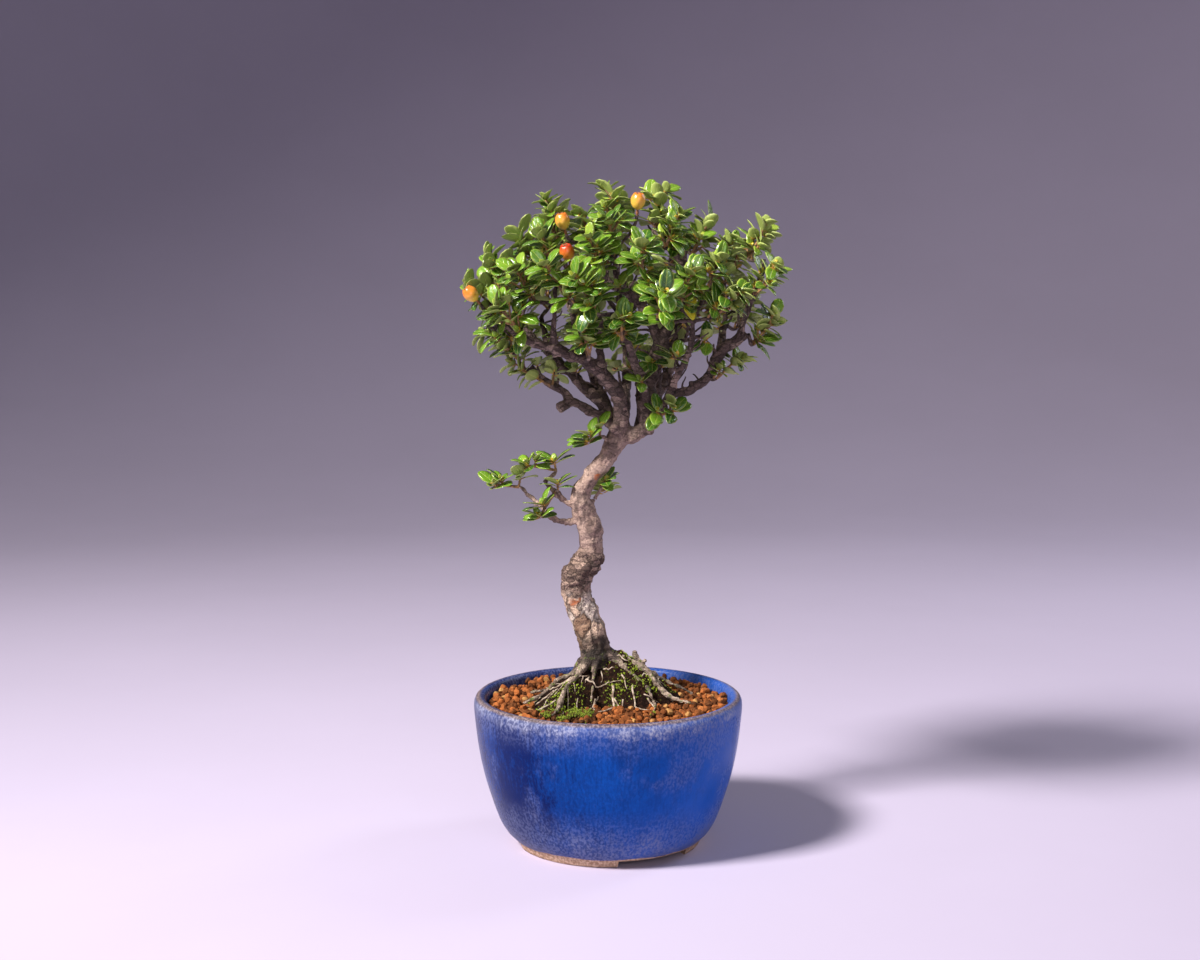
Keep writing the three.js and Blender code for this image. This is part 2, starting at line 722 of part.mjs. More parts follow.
// Distance from a place to the straight line between two others, less the radius there
function distanceToBar(place, bar) {
  const way = bar.end.clone().sub(bar.start);
  const share = place.clone().sub(bar.start).dot(way) / way.lengthSq();
  const held = Math.min(1, Math.max(0, share));
  const nearest = bar.start.clone().addScaledVector(way, held);
  return place.distanceTo(nearest) - bar.radius;
}

// Straight bars along a limb's points, for keeping leaves clear
function barsOf({ points }) {
  const bars = [];
  for (let i = 0; i + 1 < points.length; i += 1) {
    bars.push({
      start: new THREE.Vector3(...points[i].slice(0, 3)),
      end: new THREE.Vector3(...points[i + 1].slice(0, 3)),
      radius: Math.max(points[i][3], points[i + 1][3]),
    });
  }
  return bars;
}

// Direction of a spray: outwards from the middle of the crown and upwards
function sprayHeading(centre, random) {
  const out = centre.clone().sub(CANOPY_CENTRE).normalize();
  const heading = out.multiplyScalar(OUTWARD_PULL).add(new THREE.Vector3(0, 0, UPWARD_PULL));
  heading.x += between(random, -HEADING_JITTER, HEADING_JITTER);
  heading.y += between(random, -HEADING_JITTER, HEADING_JITTER);
  heading.z += between(random, -UPWARD_JITTER, UPWARD_JITTER);
  return heading.normalize();
}

// Two directions square to a given one, the first as level as it can be
function squareTo(direction) {
  const level = new THREE.Vector3(0, 0, 1).cross(direction);
  if (level.length() < 0.05) {
    level.set(1, 0, 0);
  }
  level.normalize();
  return [level, direction.clone().cross(level)];
}

// Leaf: where it starts, its length and its three directions
function leafFrame(foot, heading, turn, tilt, length) {
  const [level, upper] = squareTo(heading);
  const out = level.multiplyScalar(Math.cos(turn)).addScaledVector(upper, Math.sin(turn));
  const along = heading.clone().multiplyScalar(Math.cos(tilt)).addScaledVector(out, Math.sin(tilt));
  const face = heading.clone().add(new THREE.Vector3(0, 0, LEAF_LIFT));
  face.addScaledVector(along, -face.dot(along)).normalize();
  return { foot, along, face, across: face.clone().cross(along), length };
}

// Place on a leaf by its share of the length and its offset to the side
function onLeaf(leaf, share, offset) {
  const place = leaf.foot.clone().addScaledVector(leaf.along, share * leaf.length);
  place.addScaledVector(leaf.across, offset * leaf.length * LEAF_WIDTH_RATIO);
  return place.addScaledVector(leaf.face, -LEAF_ARCH * leaf.length * share * share);
}

const LEAF_PROBES = [
  [0.25, -0.3], [0.25, 0.3], [0.4, -0.48], [0.4, 0], [0.4, 0.48], [0.58, -0.5], [0.58, -0.2],
  [0.58, 0.2], [0.58, 0.5], [0.76, -0.4], [0.76, 0], [0.76, 0.4], [0.9, -0.2], [0.9, 0.2], [1, 0],
];

// Whether a place lies within a leaf's own thin slab, margins included
function insideLeaf(leaf, place, margin, clearance) {
  const way = place.clone().sub(leaf.foot);
  const share = way.dot(leaf.along) / leaf.length;
  const side = way.dot(leaf.across);
  const lift = way.dot(leaf.face) + LEAF_ARCH * leaf.length * share * share;
  const longways = (share - 0.5) / (0.5 + margin / leaf.length);
  const sideways = side / ((leaf.length * LEAF_WIDTH_RATIO) / 2 + margin);
  return longways * longways + sideways * sideways < 1 && Math.abs(lift) < clearance;
}

// Whether two leaves come too close; those of one spray may touch near their feet
function leavesCross(leaf, other, sameSpray) {
  const margin = sameSpray ? 0 : LEAF_MARGIN;
  const clearance = sameSpray ? LEAF_THICKNESS : LEAF_CLEARANCE;
  const probes = LEAF_PROBES.filter(([share]) => !sameSpray || share > 0.3);
  const crosses = (one, two) => {
    return probes.some(([share, offset]) => {
      return insideLeaf(one, onLeaf(two, share, offset), margin, clearance);
    });
  };
  return crosses(leaf, other) || crosses(other, leaf);
}

// Whether a new leaf keeps clear of wood, shoots, berries and the other sprays' leaves
function leafFits(leaf, spray, world) {
  const probes = LEAF_PROBES.map(([share, offset]) => onLeaf(leaf, share, offset));
  const middle = onLeaf(leaf, 0.5, 0);
  for (const bar of world.bars) {
    if (bar.spray !== spray && distanceToBar(middle, bar) < leaf.length) {
      if (probes.some((probe) => distanceToBar(probe, bar) < LEAF_CLEARANCE)) {
        return false;
      }
    }
  }
  for (const ball of world.balls) {
    if (probes.some((probe) => probe.distanceTo(ball.centre) < ball.radius + LEAF_CLEARANCE)) {
      return false;
    }
  }
  return world.leaves.every((other) => {
    const near = onLeaf(other, 0.5, 0).distanceTo(middle) < LEAF_NEAR;
    return !near || !leavesCross(leaf, other, spray === other.spray);
  });
}

// One more leaf on a shoot: the first of several turns and tilts that keeps clear
function growLeaf(spray, count, down, world) {
  const { random, heading, shoot } = spray;
  const foot = shoot.end.clone().lerp(shoot.start, LEAFY_SHARE * down);
  const tilt = LEAF_TOP_TILT + LEAF_TILT_RANGE * down;
  const jitter = between(random, -LEAF_TURN_JITTER, LEAF_TURN_JITTER);
  const turn = count * GOLDEN_ANGLE + jitter + spray.phase;
  const length = LEAF_MIN_LENGTH + LEAF_LENGTH_RANGE * random() * spray.size;
  for (let attempt = 0; attempt < LEAF_TRIES; attempt += 1) {
    const swing = (attempt % 2 === 0 ? 1 : -1) * TRY_SWING * attempt;
    const lean = tilt - TRY_TILT * attempt;
    const size = length * (1 - TRY_SHRINK * attempt);
    const leaf = leafFrame(foot, heading, turn + swing, lean, size);
    if (leafFits(leaf, spray.name, world)) {
      world.leaves.push({ ...leaf, spray: spray.name });
      return;
    }
  }
}

// Twig to a spray or berry: it lengthens a limb from its tip, or leaves it as a new twig
function growTwig(stations, foot, heading, world) {
  const station = bestStation(stations, foot);
  const twig = makeTwig(station, foot, heading);
  world.bars.push(...barsOf(twig));
  if (station.tipOf) {
    station.tipOf.points.push(...twig.points.slice(1));
    station.tipOf.heading = heading;
    station.tipOf = null;
  } else {
    world.twigs.push(twig);
  }
  return twig;
}

// The skeleton: limbs first, then a twig to every spray and berry
function growWood(world) {
  const copy = (limbs) => Object.values(limbs).map((points) => ({ points: [...points] }));
  const crown = copy({ ...LIMBS, ...HIDDEN_LIMBS });
  const low = copy(LOW_TWIGS);
  const stubs = copy(STUBS);
  const stations = crown.flatMap(stationsOf);
  const lowStations = low.flatMap(stationsOf);
  world.limbs = [{ points: TRUNK }, ...crown, ...low, ...stubs];
  world.bars.push(...world.limbs.flatMap(barsOf));
  for (const spray of world.sprays) {
    const pool = spray.low ? lowStations : stations;
    const twig = growTwig(pool, spray.foot, spray.heading, world);
    pool.push(...stationsOf(twig).slice(2, 5));
  }
  for (const berry of world.berries) {
    growTwig(stations, berry.foot, berry.heading, world);
  }
}

function makeSpray(name, centre, index, kind) {
  const random = stream(SEED + 1000 * (index + 1));
  const place = new THREE.Vector3(...centre);
  const heading = sprayHeading(place, random);
  const foot = place.clone().addScaledVector(heading, -kind.length * SHOOT_BACK);
  const phase = between(random, 0, 2 * Math.PI);
  return { name, heading, foot, random, phase, ...kind };
}

const EDGE_KIND = { length: SHOOT_LENGTH, leaves: 6, low: false, size: 1 };
const CANOPY_KIND = { length: SHOOT_LENGTH, leaves: 5, low: false, size: 1 };
const LOW_KIND = { length: SHOOT_LENGTH, leaves: 6, low: true, size: 1 };
const SMALL_KIND = { length: 5, leaves: 4, low: true, size: 0.2 };

function makeSprays() {
  const groups = [
    [EDGE_SPRAYS, EDGE_KIND],
    [FRONT_SPRAYS, CANOPY_KIND],
    [BACK_SPRAYS, CANOPY_KIND],
    [LOW_SPRAYS, LOW_KIND],
    [SMALL_SPRAYS, SMALL_KIND],
  ];
  const sprays = [];
  for (const [places, kind] of groups) {
    for (const [name, centre] of Object.entries(places)) {
      sprays.push(makeSpray(name, centre, sprays.length, kind));
    }
  }
  return sprays;
}

function makeBerries() {
  return Object.entries(BERRIES).map(([name, centre]) => {
    const place = new THREE.Vector3(...centre);
    const out = place.clone().sub(CANOPY_CENTRE).normalize();
    const heading = out.add(new THREE.Vector3(0, 0, BERRY_UPWARD)).normalize();
    const reach = BERRY_RADIUS + STALK_LENGTH;
    const foot = place.clone().addScaledVector(heading, -reach);
    return { name, centre: place, heading, foot };
  });
}

// A straight shoot for every spray, a small gap away from its twig
function growShoots(world) {
  for (const spray of world.sprays) {
    const start = spray.foot.clone().addScaledVector(spray.heading, SHOOT_GAP);
    const end = start.clone().addScaledVector(spray.heading, spray.length);
    spray.shoot = { start, end, radius: SHOOT_RADIUS, spray: spray.name };
    world.bars.push(spray.shoot);
  }
}

// Leaves, one round of all sprays after another so that none is crowded out
function growLeaves(world) {
  for (let round = 0; round < EDGE_KIND.leaves; round += 1) {
    for (const spray of world.sprays) {
      if (round < spray.leaves) {
        growLeaf(spray, round, round / (spray.leaves - 1), world);
      }
    }
  }
}

// Leaf solid: a thin box in three lengths, drawn to an oval and arched, its foot in the shoot
function leafSolid(leaf) {
  const lengths = LEAF_STATIONS.length - 1;
  const geometry = new THREE.BoxGeometry(lengths, 1, LEAF_THICKNESS / leaf.length, lengths, 1, 1);
  const position = geometry.attributes.position;
  for (let i = 0; i < position.count; i += 1) {
    const [share, width] = LEAF_STATIONS[Math.round(position.getX(i) + lengths / 2)];
    const side = position.getY(i) * width * LEAF_WIDTH_RATIO;
    position.setXYZ(i, share, side, position.getZ(i) - LEAF_ARCH * share * share);
  }
  const { along, across, face, length, foot } = leaf;
  const matrix = new THREE.Matrix4().makeBasis(along, across, face);
  matrix.scale(new THREE.Vector3(length, length, length));
  matrix.setPosition(foot);
  geometry.applyMatrix4(matrix);
  return solid(geometry);
}

function sprayPiece(spray, world) {
  const { start, end } = spray.shoot;
  const shootPoints = [
    [...start.toArray(), SHOOT_RADIUS],
    [...end.toArray(), SHOOT_RADIUS * SHOOT_TAPER],
  ];
  const parts = [limbSolid({ points: shootPoints }, TWIG_SIDES)];
  for (const leaf of world.leaves) {
    if (leaf.spray === spray.name) {
      parts.push(leafSolid(leaf));
    }
  }
  const young = spray.low || spray.foot.z > YOUNG_ABOVE_Z;
  return piece(`leaves_${plain(spray.name)}`, largestBody(fuse(parts)), young ? YOUNG_LEAF : LEAF);
}

// rightTip becomes right_tip
function plain(name) {
  return name.replace(/[A-Z]/g, (letter) => `_${letter.toLowerCase()}`);
}

// Apple-shaped berry with a dimple at its eye, on a short stalk
function berryPiece(berry) {
  const profile = BERRY_PROFILE.map(([radius, height]) => {
    return new THREE.Vector2(radius * BERRY_RADIUS, height * BERRY_RADIUS);
  });
  const geometry = new THREE.LatheGeometry(profile, BERRY_SIDES);
  const up = new THREE.Vector3(0, 1, 0);
  geometry.applyQuaternion(new THREE.Quaternion().setFromUnitVectors(up, berry.heading));
  geometry.translate(berry.centre.x, berry.centre.y, berry.centre.z);
  const foot = berry.foot.clone().addScaledVector(berry.heading, SHOOT_GAP);
  const stalk = { points: [foot, berry.centre].map((place) => [...place.toArray(), STALK_RADIUS]) };
  return piece(plain(berry.name), fuse([solid(geometry), limbSolid(stalk, TWIG_SIDES)]), BERRY);
}

function sidesFor({ points }) {
  const thickest = points[0][3];
  const [, sides] = SIDES_BY_RADIUS.find(([least]) => thickest > least);
  return sides;
}

function wood(world) {
  const parts = [...world.limbs, ...rootLines()].map((limb) => limbSolid(limb, sidesFor(limb)));
  parts.push(...world.twigs.map((twig) => limbSolid(twig, TWIG_SIDES)));
  return piece("trunk_branches_roots", largestBody(fuse(parts)), BARK);
}

function bonsai() {
  const world = { bars: [], balls: [], leaves: [], twigs: [] };
  world.sprays = makeSprays();
  world.berries = makeBerries();
  world.balls = world.berries.map(({ centre }) => ({ centre, radius: BERRY_RADIUS }));
  growWood(world);
  growShoots(world);
  growLeaves(world);
  const plant = new THREE.Group();
  plant.add(pot(), soil(), mound(), wood(world));
  plant.add(...world.sprays.map((spray) => sprayPiece(spray, world)));
  plant.add(...world.berries.map((berry) => berryPiece(berry)));
  plant.position.x = AXIS_SHIFT;
  const whole = new THREE.Group();
  whole.add(plant);
  return whole;
}

export default bonsai();
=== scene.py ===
"""Cotoneaster bonsai in a round glazed pot: the looks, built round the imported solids.

The plan below is in millimetres from the pot's axis, +Z up, front towards -Y. It becomes
metres in the row frame when a mesh is made. The rules that grow the twigs and leaves
are the solids' own, so every spray here stands where its solid stands.
"""

import math
from contextlib import contextmanager
from functools import cached_property

import bpy
import numpy as np
from bpy.props import FloatProperty, FloatVectorProperty, IntProperty, PointerProperty
from bpy.types import Operator, Panel, PropertyGroup
from mathutils import Matrix, Vector, noise


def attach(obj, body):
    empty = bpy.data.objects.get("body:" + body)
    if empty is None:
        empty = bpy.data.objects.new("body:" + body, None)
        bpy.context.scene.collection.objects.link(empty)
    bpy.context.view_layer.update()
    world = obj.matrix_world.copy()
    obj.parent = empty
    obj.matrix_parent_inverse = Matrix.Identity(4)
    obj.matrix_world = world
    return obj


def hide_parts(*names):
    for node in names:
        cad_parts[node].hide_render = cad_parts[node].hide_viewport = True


bl_info = {
    "name": "Cotoneaster bonsai",
    "version": (1, 0, 0),
    "blender": (4, 5, 0),
    "location": "View3D > Sidebar > Bonsai",
    "description": "Builds a potted cotoneaster bonsai round its packed solids",
    "category": "Object",
}

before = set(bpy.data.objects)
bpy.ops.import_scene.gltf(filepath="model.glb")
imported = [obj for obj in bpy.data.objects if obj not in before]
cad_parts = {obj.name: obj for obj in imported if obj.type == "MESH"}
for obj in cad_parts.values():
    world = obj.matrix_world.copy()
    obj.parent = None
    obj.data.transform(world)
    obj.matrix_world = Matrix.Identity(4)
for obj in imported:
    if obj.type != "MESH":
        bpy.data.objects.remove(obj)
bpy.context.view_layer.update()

MM = 0.001
MERGE_DISTANCE = 0.001 * MM
AXIS_SHIFT = -6.0
SEED = 20417

# Pot, as pairs of radius and height from the foot's outer edge round to its inner edge
POT_FOOT = [(37.3, 0.0), (38.1, 0.5), (38.9, 2.4), (39.5, 3.2)]
POT_WALL = [
    (42.3, 6.0), (44.7, 10.0), (46.7, 15.0), (48.7, 21.0), (50.8, 28.0), (52.6, 36.0),
    (53.9, 44.0), (54.8, 52.0), (55.2, 57.0), (55.1, 59.0),
]
POT_RIM = [(54.5, 60.5), (53.6, 61.3), (52.6, 61.5), (51.4, 61.2), (50.6, 60.4), (50.2, 59.0)]
POT_INSIDE = [(49.9, 54.0), (48.6, 38.0), (44.0, 20.0), (40.0, 14.0), (32.0, 9.0), (24.0, 8.0)]
POT_DRAIN = [(5.4, 8.0), (5.0, 7.5), (5.0, 3.4), (5.4, 3.0)]
POT_UNDER = [(31.5, 3.0), (32.5, 2.4), (32.8, 0.4), (33.2, 0.0)]
POT_SMOOTH_STEPS = 3
FOOT_GAP_CENTRES = [30, 150, 270]
FOOT_GAP_SIZES = (31.7, 12.0, 4.96)
FOOT_GAP_MIDDLE_Z = 0.5
FOOT_MIDDLE_RADIUS = 35.0
POT_CREASE = 0.7

# Soil and the earth mound on the roots
SOIL_LEVEL = 57.3
SOIL_RADIUS = 49.6
MOUND_REACH = [37, 27, 20, 21, 24, 33, 18, 24]
MOUND_LOBES = [(8, 2, 12.5, 17, 13), (-14, -9, 8.5, 12, 14)]
MOUND_EDGE_RISE = 0.6
MOUND_LEAST_RISE = 1.4
MOUND_EDGE_STEEPNESS = 4
TRUNK_FOOT = np.array([-5.0, 3.0])

# Grains, moss and rootlets
GRAIN_FLAT_SIDES = 9
GRAIN_FLAT_DEPTHS = (0.58, 0.88)
GRAIN_SIZES = (0.72, 1.2)
GRAIN_SQUASH = (0.86, 1.12)
GRAIN_ROW_SHARE = 0.87
GRAIN_JITTER = 0.45
GRAIN_LIFT = 0.4
GRAIN_CREASE = 0.5
GRAIN_BED_SIDES = 96
GRAIN_LAYERS = [(56.2, 1.0), (57.6, 0.72), (58.9, 0.34)]
GRAIN_FROM_WALL = 1.0
GRAIN_MOUND_SHARE = 0.93
GRAIN_BED_Z = 56.2
GRAIN_BED_FLOOR_Z = 20.0
GRAIN_BED_FLOOR_RADIUS = 43.0
PALE_GRAIN_SHARE = 0.045
MOUND_SUNK_Z = 55.0
MOUND_THICKNESS = 3
MOUND_EDGE_SHARE = 0.94
MOUND_EDGE_DROP = 30
MOUND_SHEET_CELLS = (150, 130)
MOUND_SHEET_SIZE = (80.0, 70.0)
MOUND_SHEET_MIDDLE = (0.0, -3.0)
MOUND_SHEET_REACH = 46.0
MOUND_FILL = (3.0, 2.0, 4.5, 7.5)
ROOT_BEDDING = (1.3, 1.5)
EARTH_CRUMBS = [(0.9, 0.35, 3), (0.7, 0.95, 7), (0.45, 2.1, 11)]
MOSS_SPOTS = [
    (11, 0, 6, 1.5), (-19, -19, 7, 1.6), (-10, -27, 6, 2.0), (2, -11, 5, 1.2),
    (17, -27, 4, 1.2), (17, -4, 4, 1.4), (-2, 1, 4, 1.0), (-28, -8, 4, 0.8), (24, 6, 5, 0.8),
    (-14, 18, 6, 1.0), (8, 20, 5, 1.0), (-14, -13, 4, 1.2), (8, -7, 4, 1.0),
    (-24, -30, 5, 1.3), (-18, -36, 5, 1.3), (-9, -40, 3, 1.1), (14, -42, 3, 1.0),
]
MOSS_ACROSS = (-38, 38)
MOSS_DEEP = (-46, 30)
MOSS_EDGE_SHARES = (0.98, 1.08)
MOSS_EDGE_LIFT = 1.2
TUFT_SPIKES = 6
TUFT_SIZES = (0.25, 0.8)
GRAIN_TOP_Z = 59.3
MOSS_ON_SOIL_SHARE = 0.85
SOIL_MOSS_TINTS = (0.0, 0.7)
MOSSY_GRAIN_SHARE = 0.5
ROOTLET_STEP = 1.1
ROOTLET_WANDER = 0.5
ROOTLET_STARTS = (0.3, 0.9)
ROOTLET_TURN = 0.9
ROOTLET_LENGTHS = (4, 11)
ROOTLET_RADII = (0.18, 0.42)
SHOWN_ROOTLETS = [
    (-14, -6, -120, 18, 0.45), (-9, -9, -70, 16, 0.4), (2, -9, -60, 17, 0.5),
    (10, -8, -80, 15, 0.4), (16, -10, -50, 13, 0.35), (-22, -10, -150, 12, 0.35),
    (22, -6, -30, 12, 0.4), (-4, -12, -95, 14, 0.3), (6, -12, -110, 12, 0.3),
]

# Wood
ROOT_SLIMNESS = {"frontShort": 0.5, "frontRight": 0.55, "frontLeft": 0.65, "bigLeft": 0.65,
                 "bigRight": 0.6, "shoulder": 0.75, "left": 0.65}
BROKEN_ROOT = [[13.3, 7.0, 1.0, 1.9], [12.6, 6.8, 4.5, 1.7], [10.8, 6.2, 8.0, 0.9]]
BROKEN_SPLINTER = [[13.3, 7.0, 2.0, 1.6], [14.8, 6.4, 5.0, 1.2], [16.0, 6.0, 6.6, 0.6]]
TRUNK_KNOBS = [(-2.0, -1.0, 117.8, 1.5), (-18.7, 0.0, 107.5, 1.3), (-16.5, 0.5, 94.6, 1.0),
               (-3.7, 1.0, 94.8, 1.2)]
TRUNK_ROUGHNESS = 0.35
LIMB_ROUGHNESS = 0.9
SCAR_WAVER = 3.0
LIMB_STEP = 1.3
JOINT_SPACING = 5.3
SPUR_SPACING = 9.0
SPUR_REACHES = (0.3, 1.7)
SPUR_RADII = (0.35, 0.6)
SPUR_LEAST_RADIUS = 0.55
TWIG_STEP = 1.6
SCARS = [((-14.3, -4.3, 99.8), 2.2), ((-12.0, -4.8, 101.2), 1.3), ((-4.5, -5.5, 151.6), 1.8),
         ((14.5, 5.5, 76.5), 1.6)]

# Leaves
LEAF_OUTWARD = 0.9
LEAF_ROLL = 1.2
LEAF_WIDER = 1.06
LOW_LEAF_SIZE = 0.95
UNDER_CROWN_SIZE = 0.62
UNDER_CROWN_HEIGHTS = (160.0, 205.0)
YELLOW_LEAVES = [(35.2, -50, 215), (35.6, -50, 222)]
YELLOW_REACH = 4.0
YELLOW_STRAY = 60
YELLOW_FACING = 12.0
YELLOW_TINT = 0.91
# Heights over which a leaf's green goes from painted shade to painted light
PAINTED_LIGHT_HEIGHTS = (205, 260)
LEAF_LONG = 6
LEAF_WIDE = 4
LEAF_STALK_SHARE = 0.12
LEAF_STALK_HALF_WIDTH = 0.035
LEAF_MERGE_DISTANCE = 1e-4
LEAF_HALF_THICKNESS = 0.022
LEAF_FORMS = [
    (0.1, 0.14, 0.0, 0.0), (0.22, 0.12, 0.1, 0.3), (0.05, 0.17, 0.25, 1.0),
    (0.16, 0.09, 0.0, -0.6), (0.3, 0.14, 0.15, 0.2), (0.12, 0.2, 0.35, 0.6),
]
SIDE_SHOOT_BACK = 1.35
THIN_SPRAY_SHARE = 0.4
THIN_SPRAY_HEIGHTS = (184.0, 219.0)
SIDE_SHOOT_LENGTHS = (3.0, 7.5)
SIDE_SHOOT_TILTS = (0.6, 1.15)
SIDE_SHOOT_RADIUS = 0.45
LOW_SHOOT_SIZE = 0.6
SIDE_LEAF_TRIES = 6
SIDE_LEAF_LENGTHS = (6.8, 10.2)
SIDE_LEAF_CLEARANCE = 0.3
SIDE_LEAF_SWING = 0.35
ROSETTE_DEPTH = 1.6
ROSETTE_TILTS = (0.6, 0.95)
ROSETTE_TURNS = 15.0
HEART_LEAVES = 5
HEART_YOUNG_LEAVES = 2
YOUNG_LENGTHS = (2.8, 4.6)
YOUNG_TINTS = (0.7, 0.86)
SCALE_LENGTHS = (1.8, 3.0)
SCALE_TINTS = (0.93, 1.0)
LOW_SPRAY_PULL = (0.35, 0.9, 0.4)
OUTLINE_NEAR = 0.95
OUTLINE_SLACK = 1.5
OUTLINE_FROM_Z = 185
INNER_TWIG_SPACING = 5.0
INNER_TWIG_LENGTHS = (5.0, 13.0)
INNER_TWIG_RADII = (0.4, 0.7)
INNER_TWIG_LOWEST = 184.0
INNER_OWNERS = 1000
INNER_LEAFY_SHARE = 0.45
INNER_LEAVES = 4

# Berries, from yellow at 0 to red at 1
BERRY_RIPENESS = {
    "berryLeft": 0.3, "berryUpper": 0.25, "berryTop": 0.2, "berryFront": 0.6, "berryBack": 0.45,
}
BERRY_SHOWN_RADIUS = 3.0
BERRY_POINTS = 5

# Colours that have no setting, dark and light where there are two
GLAZE_HAZE = (0.16, 0.18, 0.33)
EDGE_CLAYS = ((0.1, 0.07, 0.06), (0.28, 0.2, 0.19))
FOOT_CLAYS = ((0.36, 0.22, 0.14), (0.66, 0.47, 0.33))
LIGHT_GRAIN = 2.1
# Near-black for the fill under the grains, as painted shade in the gaps, and for grains under moss
GAP_SHADE_AND_MOSSY_GRAIN = (0.008, 0.004, 0.002)
GRAIN_DUST = (0.36, 0.15, 0.05)
GRAIN_PIT = (0.07, 0.02, 0.007)
EARTH_CRUMB = (0.04, 0.016, 0.008)
EARTH_FLECK = (0.2, 0.08, 0.035)
MOSS_SHADES = [(0.0, 0.3), (0.5, 1.0), (1.0, 1.45)]
ROOTLET_COLOURS = ((0.6, 0.48, 0.37), (0.16, 0.1, 0.06))
SMOOTH_PATCH = (0.07, 0.042, 0.034)
FLAKES = ((0.34, 0.2, 0.12), (0.68, 0.48, 0.35))
PALEST_FLAKE = (0.74, 0.64, 0.56)
FLAKE_GRIME = (0.09, 0.042, 0.026)
FLAKE_SPECK = (0.03, 0.017, 0.012)
FOLDS = ((0.13, 0.075, 0.055), (0.44, 0.29, 0.22))
# Painted shade on the bark high up inside the crown
PAINTED_CROWN_SHADE = (0.05, 0.03, 0.025)
CRACK_COLOUR = (0.028, 0.015, 0.01)
ROOT_COLOURS = ((0.15, 0.09, 0.06), (0.7, 0.54, 0.41))
FOOT_COLOUR = (0.03, 0.02, 0.013)
FOOT_STAIN = (0.035, 0.024, 0.016)
FOOT_MOSS = (0.16, 0.22, 0.02)
BARK_GRIME = (0.05, 0.034, 0.027)
SCAR_COLOUR = (0.5, 0.13, 0.03)
DARKEST_LEAF = (0.008, 0.05, 0.006)
YELLOW_LEAF_COLOUR = (0.8, 0.62, 0.03)
BUD_SCALE = (0.75, 0.36, 0.03)
LEAF_PATCH = (0.01, 0.055, 0.006)
LEAF_VEIN = (0.56, 0.66, 0.11)
UNDER_VEIN = (0.54, 0.6, 0.16)
LEAF_STALK = (0.62, 0.3, 0.05)
STEM_COLOURS = ((0.36, 0.19, 0.06), (0.15, 0.085, 0.05))
BERRY_DOT = (0.85, 0.5, 0.12)
EYE_COLOURS = ((0.16, 0.06, 0.025), (0.34, 0.13, 0.05))

# Heights and distances from the axis, in millimetres, where a finish starts and is full
FOOT_HAZE = (28, 6)
RIM_HAZE = (46, 58)
CRUST_AT_RIM = (51.5, 59.5)
CRUST_AT_FOOT = (16, 4)
OUTSIDE_RADII = (50.5, 54.5)
EDGE_HEIGHTS = (60.8, 61.8)
EDGE_RADII = (51.8, 53.5)
BARE_FOOT = (3.6, 3.0)
# Heights where the painted shade on the bark in the crown starts and is full
SHADED_CROWN_HEIGHTS = (165, 195)
PALE_ROOTS = (80, 75)
OFF_TRUNK = (7.5, 11)
DARK_FOOT = (88, 84.5)
NEAR_TRUNK = (12.5, 9)
STAINED_FOOT = (78, 64)
MOSSY_FOOT = (82, 72)
RELIEF_ON_TRUNK = (172, 160)
FOLDS_AT_FOOT = (86, 78)
TWIST_MIDDLE, TWIST_REACH = 114, 9
FLAKES_MIDDLE, FLAKES_REACH = 92, 12

# Stretches of the trunk: start, full from, full to, end
FLAKY_ZONE = (78, 82, 101, 107)
TWISTED_ZONE = (101, 106, 118, 126)
SMOOTH_ZONE = (118, 124, 160, 178)

# Camera, in millimetres, and its angle below the level
CAMERA_PLACE = (-9.32, -688.7, 222.0)
CAMERA_DOWN = 0.1044
CAMERA_LENS = 51.0
CAMERA_SENSOR = 36.0
CAMERA_CLIP = (0.01, 100)

# Floor and backdrop, in metres
FLOOR_RADIUS = 1.0
FLOOR_SIDES = 128
SWEEP_RADIUS = 1.4
SWEEP_STEPS = 20

# Lights, each with its place, its two sizes, its colour and its spread
LIT_MIDDLE = (0, 0, 0.14)
LIGHTS = {
    "key": ((-0.95, -0.62, 1.15), (0.3, 0.3), (1, 0.97, 0.94), 1.75),
    "fill": ((0.3, -1.3, 0.5), (0.9, 0.7), (0.93, 0.93, 1), math.pi),
    "rim": ((0.9, 0.55, 0.7), (0.3, 0.6), (0.9, 0.92, 1), math.pi),
}

# Trunk, each point as x, y, z and radius
TRUNK = [
    [-5, 3, 42, 6.5], [-5, 3, 62, 6.5], [-5, 3, 76, 6.4], [-7, 2.5, 85.5, 6.2],
    [-9.7, 2, 93, 6.5], [-12.7, 1.5, 100.5, 5.6], [-13, 1, 108, 6.1], [-11.3, 0.5, 112.5, 6],
    [-8.2, 0, 117.5, 5.8], [-6.6, 0, 122, 4.8], [-7, -0.5, 127, 5], [-8.1, -1, 132, 5.2],
    [-9.9, -1.5, 138, 4.5], [-11.4, -2, 143, 3.9], [-10, -2, 147.5, 3.6], [-6.8, -2, 151.7, 3.7],
    [-3.7, -2, 155.8, 3.7], [-0.1, -2, 160, 3.8], [2.4, -2, 164.3, 4.2], [4.8, -2, 169, 4.4],
]

